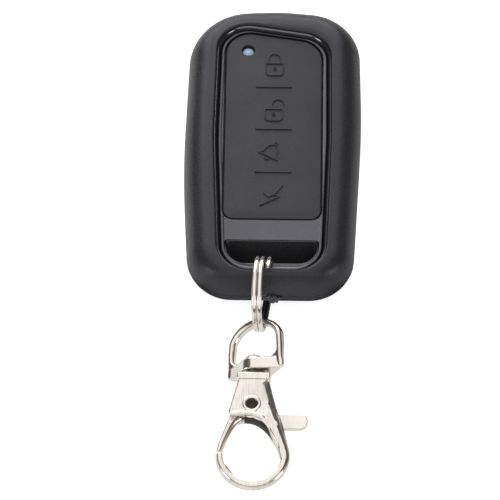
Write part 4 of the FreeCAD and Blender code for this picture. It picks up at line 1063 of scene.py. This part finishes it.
def rearScrews():
    screws = []
    for x, y in caseShape["screws"]:
        screw = turned(screwShape["profile"], (x, y, 0.0), count=40)
        for a, b in (screwShape["cross"], screwShape["cross"][::-1]):
            corners = [(x - a, y - b, 0.1), (x - a, y + b, 0.1), (x + a, y + b, 0.1), (x + a, y - b, 0.1)]
            combine(screw, prism(roundLoop(corners, 32), 0.0, screwShape["crossDepth"]))
        screws.append(screw)
    finishPiece(joinPieces(screws), "rearScrews", "case", "wireNickel",
                ("case_screws",), 35.0)


rearScrews()

# the solids that are shown as they come
innerLooks = {
    "keyRubber": ["keypad_web"],
    "boardGreen": ["circuit_board"],
    "paleLens": ["status_led"],
    "chipBlack": ["encoder_chip", "chip_components"],
    "cellSteel": ["saw_resonator", "crystal", "coin_cell", "cell_clip", "cell_contact", "loop_antenna",
                  "gate_spring"],
}
for switch in range(1, 5):
    innerLooks["chipBlack"] += [f"switch_body_{switch}", f"switch_plunger_{switch}"]


def innerFinishes():
    for material, names in innerLooks.items():
        for name in names:
            nodes[name].data.materials.clear()
            nodes[name].data.materials.append(finishes[material])
    print("inner solids finished")


innerFinishes()


# stage and light

# Mirrors see painted glow: a table lit to tableEdge in a dark room, painted shadow under the remote, dimmer
# to the right
floorLook = {
    "size": 8.0, "level": -0.00002, "colour": (0.85, 0.85, 0.85, 1), "seen": 0.75,
    "tint": (1.0, 0.985, 0.96, 1), "tableEdge": (0.14, 0.5), "mirrorNear": 0.95, "mirrorFar": 0.06,
    "shadowHalf": (0.016, 0.0335), "shadowFade": 0.009, "shadowLevel": 0.03,
    "sideways": 0.03, "left": 1.1, "right": 0.7,
}


def paleFloor():
    look = floorLook
    deselectAll()
    bpy.ops.mesh.primitive_plane_add(size=look["size"], location=(0, 0, look["level"]))
    floor = bpy.context.object
    floor.name = "paleFloor"
    material, tree, shader, place = newMaterial("paleFloor")
    fillSockets(tree, shader, {"Base Color": look["colour"], "Roughness": 0.9, "Specular IOR Level": 0.0})

    def maths(operation, first, second=0.0):
        return addNode(tree, "Math", {0: first, 1: second}, operation)[0]

    def mapped(value, fromMin, fromMax, toMin, toMax):
        return addNode(tree, "MapRange", {"Value": value, "From Min": fromMin, "From Max": fromMax,
                                          "To Min": toMin, "To Max": toMax})["Result"]

    length = addNode(tree, "VectorMath", {0: place}, "LENGTH")["Value"]
    split = addNode(tree, "SeparateXYZ", {0: place})
    table = mapped(length, *look["tableEdge"], look["mirrorNear"], look["mirrorFar"])
    # The painted shadow under the remote darkens the glow
    beside, beyond = (maths("SUBTRACT", maths("ABSOLUTE", split[axis]), half)
                      for axis, half in zip("XY", look["shadowHalf"]))
    shade = mapped(maths("MAXIMUM", beside, beyond), 0.0, look["shadowFade"], look["shadowLevel"], 1.0)
    slope = mapped(split["X"], -look["sideways"], look["sideways"], look["left"], look["right"])
    glow = maths("MULTIPLY", maths("MULTIPLY", table, shade), slope)

    path = tree.nodes.new("ShaderNodeLightPath").outputs
    mirror = maths("MAXIMUM", path["Is Glossy Ray"], path["Is Transmission Ray"])
    mirrorGlow = addNode(tree, "Emission", {"Color": look["tint"], "Strength": glow})[0]
    seenGlow = addNode(tree, "Emission", {"Strength": look["seen"]})[0]
    plain = shader.outputs[0]
    lit = addNode(tree, "AddShader", {0: plain, 1: seenGlow})[0]
    seen = addNode(tree, "MixShader", {0: path["Is Camera Ray"], 1: plain, 2: lit})[0]
    both = addNode(tree, "MixShader", {0: mirror, 1: seen, 2: mirrorGlow})[0]
    tree.links.new(both, tree.nodes["Material Output"].inputs["Surface"])
    floor.data.materials.append(material)
    print("floor laid")


worldLook = {"room": 0.1, "seen": 1.0}


def softWorld():
    world = bpy.data.worlds.new("studio")
    scene.world = world
    world.use_nodes = True
    tree = world.node_tree
    room = tree.nodes["Background"]
    fillSockets(tree, room, {"Color": (1, 1, 1, 1), "Strength": worldLook["room"]})
    seen = addNode(tree, "Background", {"Strength": worldLook["seen"]})[0]
    camera = tree.nodes.new("ShaderNodeLightPath").outputs["Is Camera Ray"]
    mix = addNode(tree, "MixShader", {0: camera, 1: room.outputs[0], 2: seen})[0]
    tree.links.new(mix, tree.nodes["World Output"].inputs["Surface"])


# Each lamp: place in mm, what it points at, size in mm, brightness of its face
lamps = {
    "topBox": ((-60, -20, 640), (-60, -20, 0), (1150, 1350), 1.0),
    "backBox": ((-150, 800, 400), (-60, 0, 20), (1050, 680), 2.5),
    "frontBox": ((0, -700, 340), (0, -20, 0), (1200, 460), 0.95),
    "leftBox": ((-620, -340, 120), (0, -20, 0), (260, 220), 3.6),
    "rightBox": ((620, -340, 120), (0, -20, 0), (260, 220), 3.2),
}


def softLamps():
    for name, (spot, aim, size, glow) in lamps.items():
        bpy.ops.object.light_add(type="AREA")
        lamp = bpy.context.object
        lamp.name = name
        lamp.data.shape = "RECTANGLE"
        lamp.data.size = size[0] * millimetre
        lamp.data.size_y = size[1] * millimetre
        lamp.data.energy = glow * pi * lamp.data.size * lamp.data.size_y
        back = (Vector(spot) - Vector(aim)).normalized()
        lamp.rotation_euler = back.to_track_quat("Z", "Y").to_euler()
        lamp.location = Vector(spot) * millimetre
    print("lamps set")


paleFloor()
softWorld()
softLamps()
scene.view_settings.view_transform = "Standard"
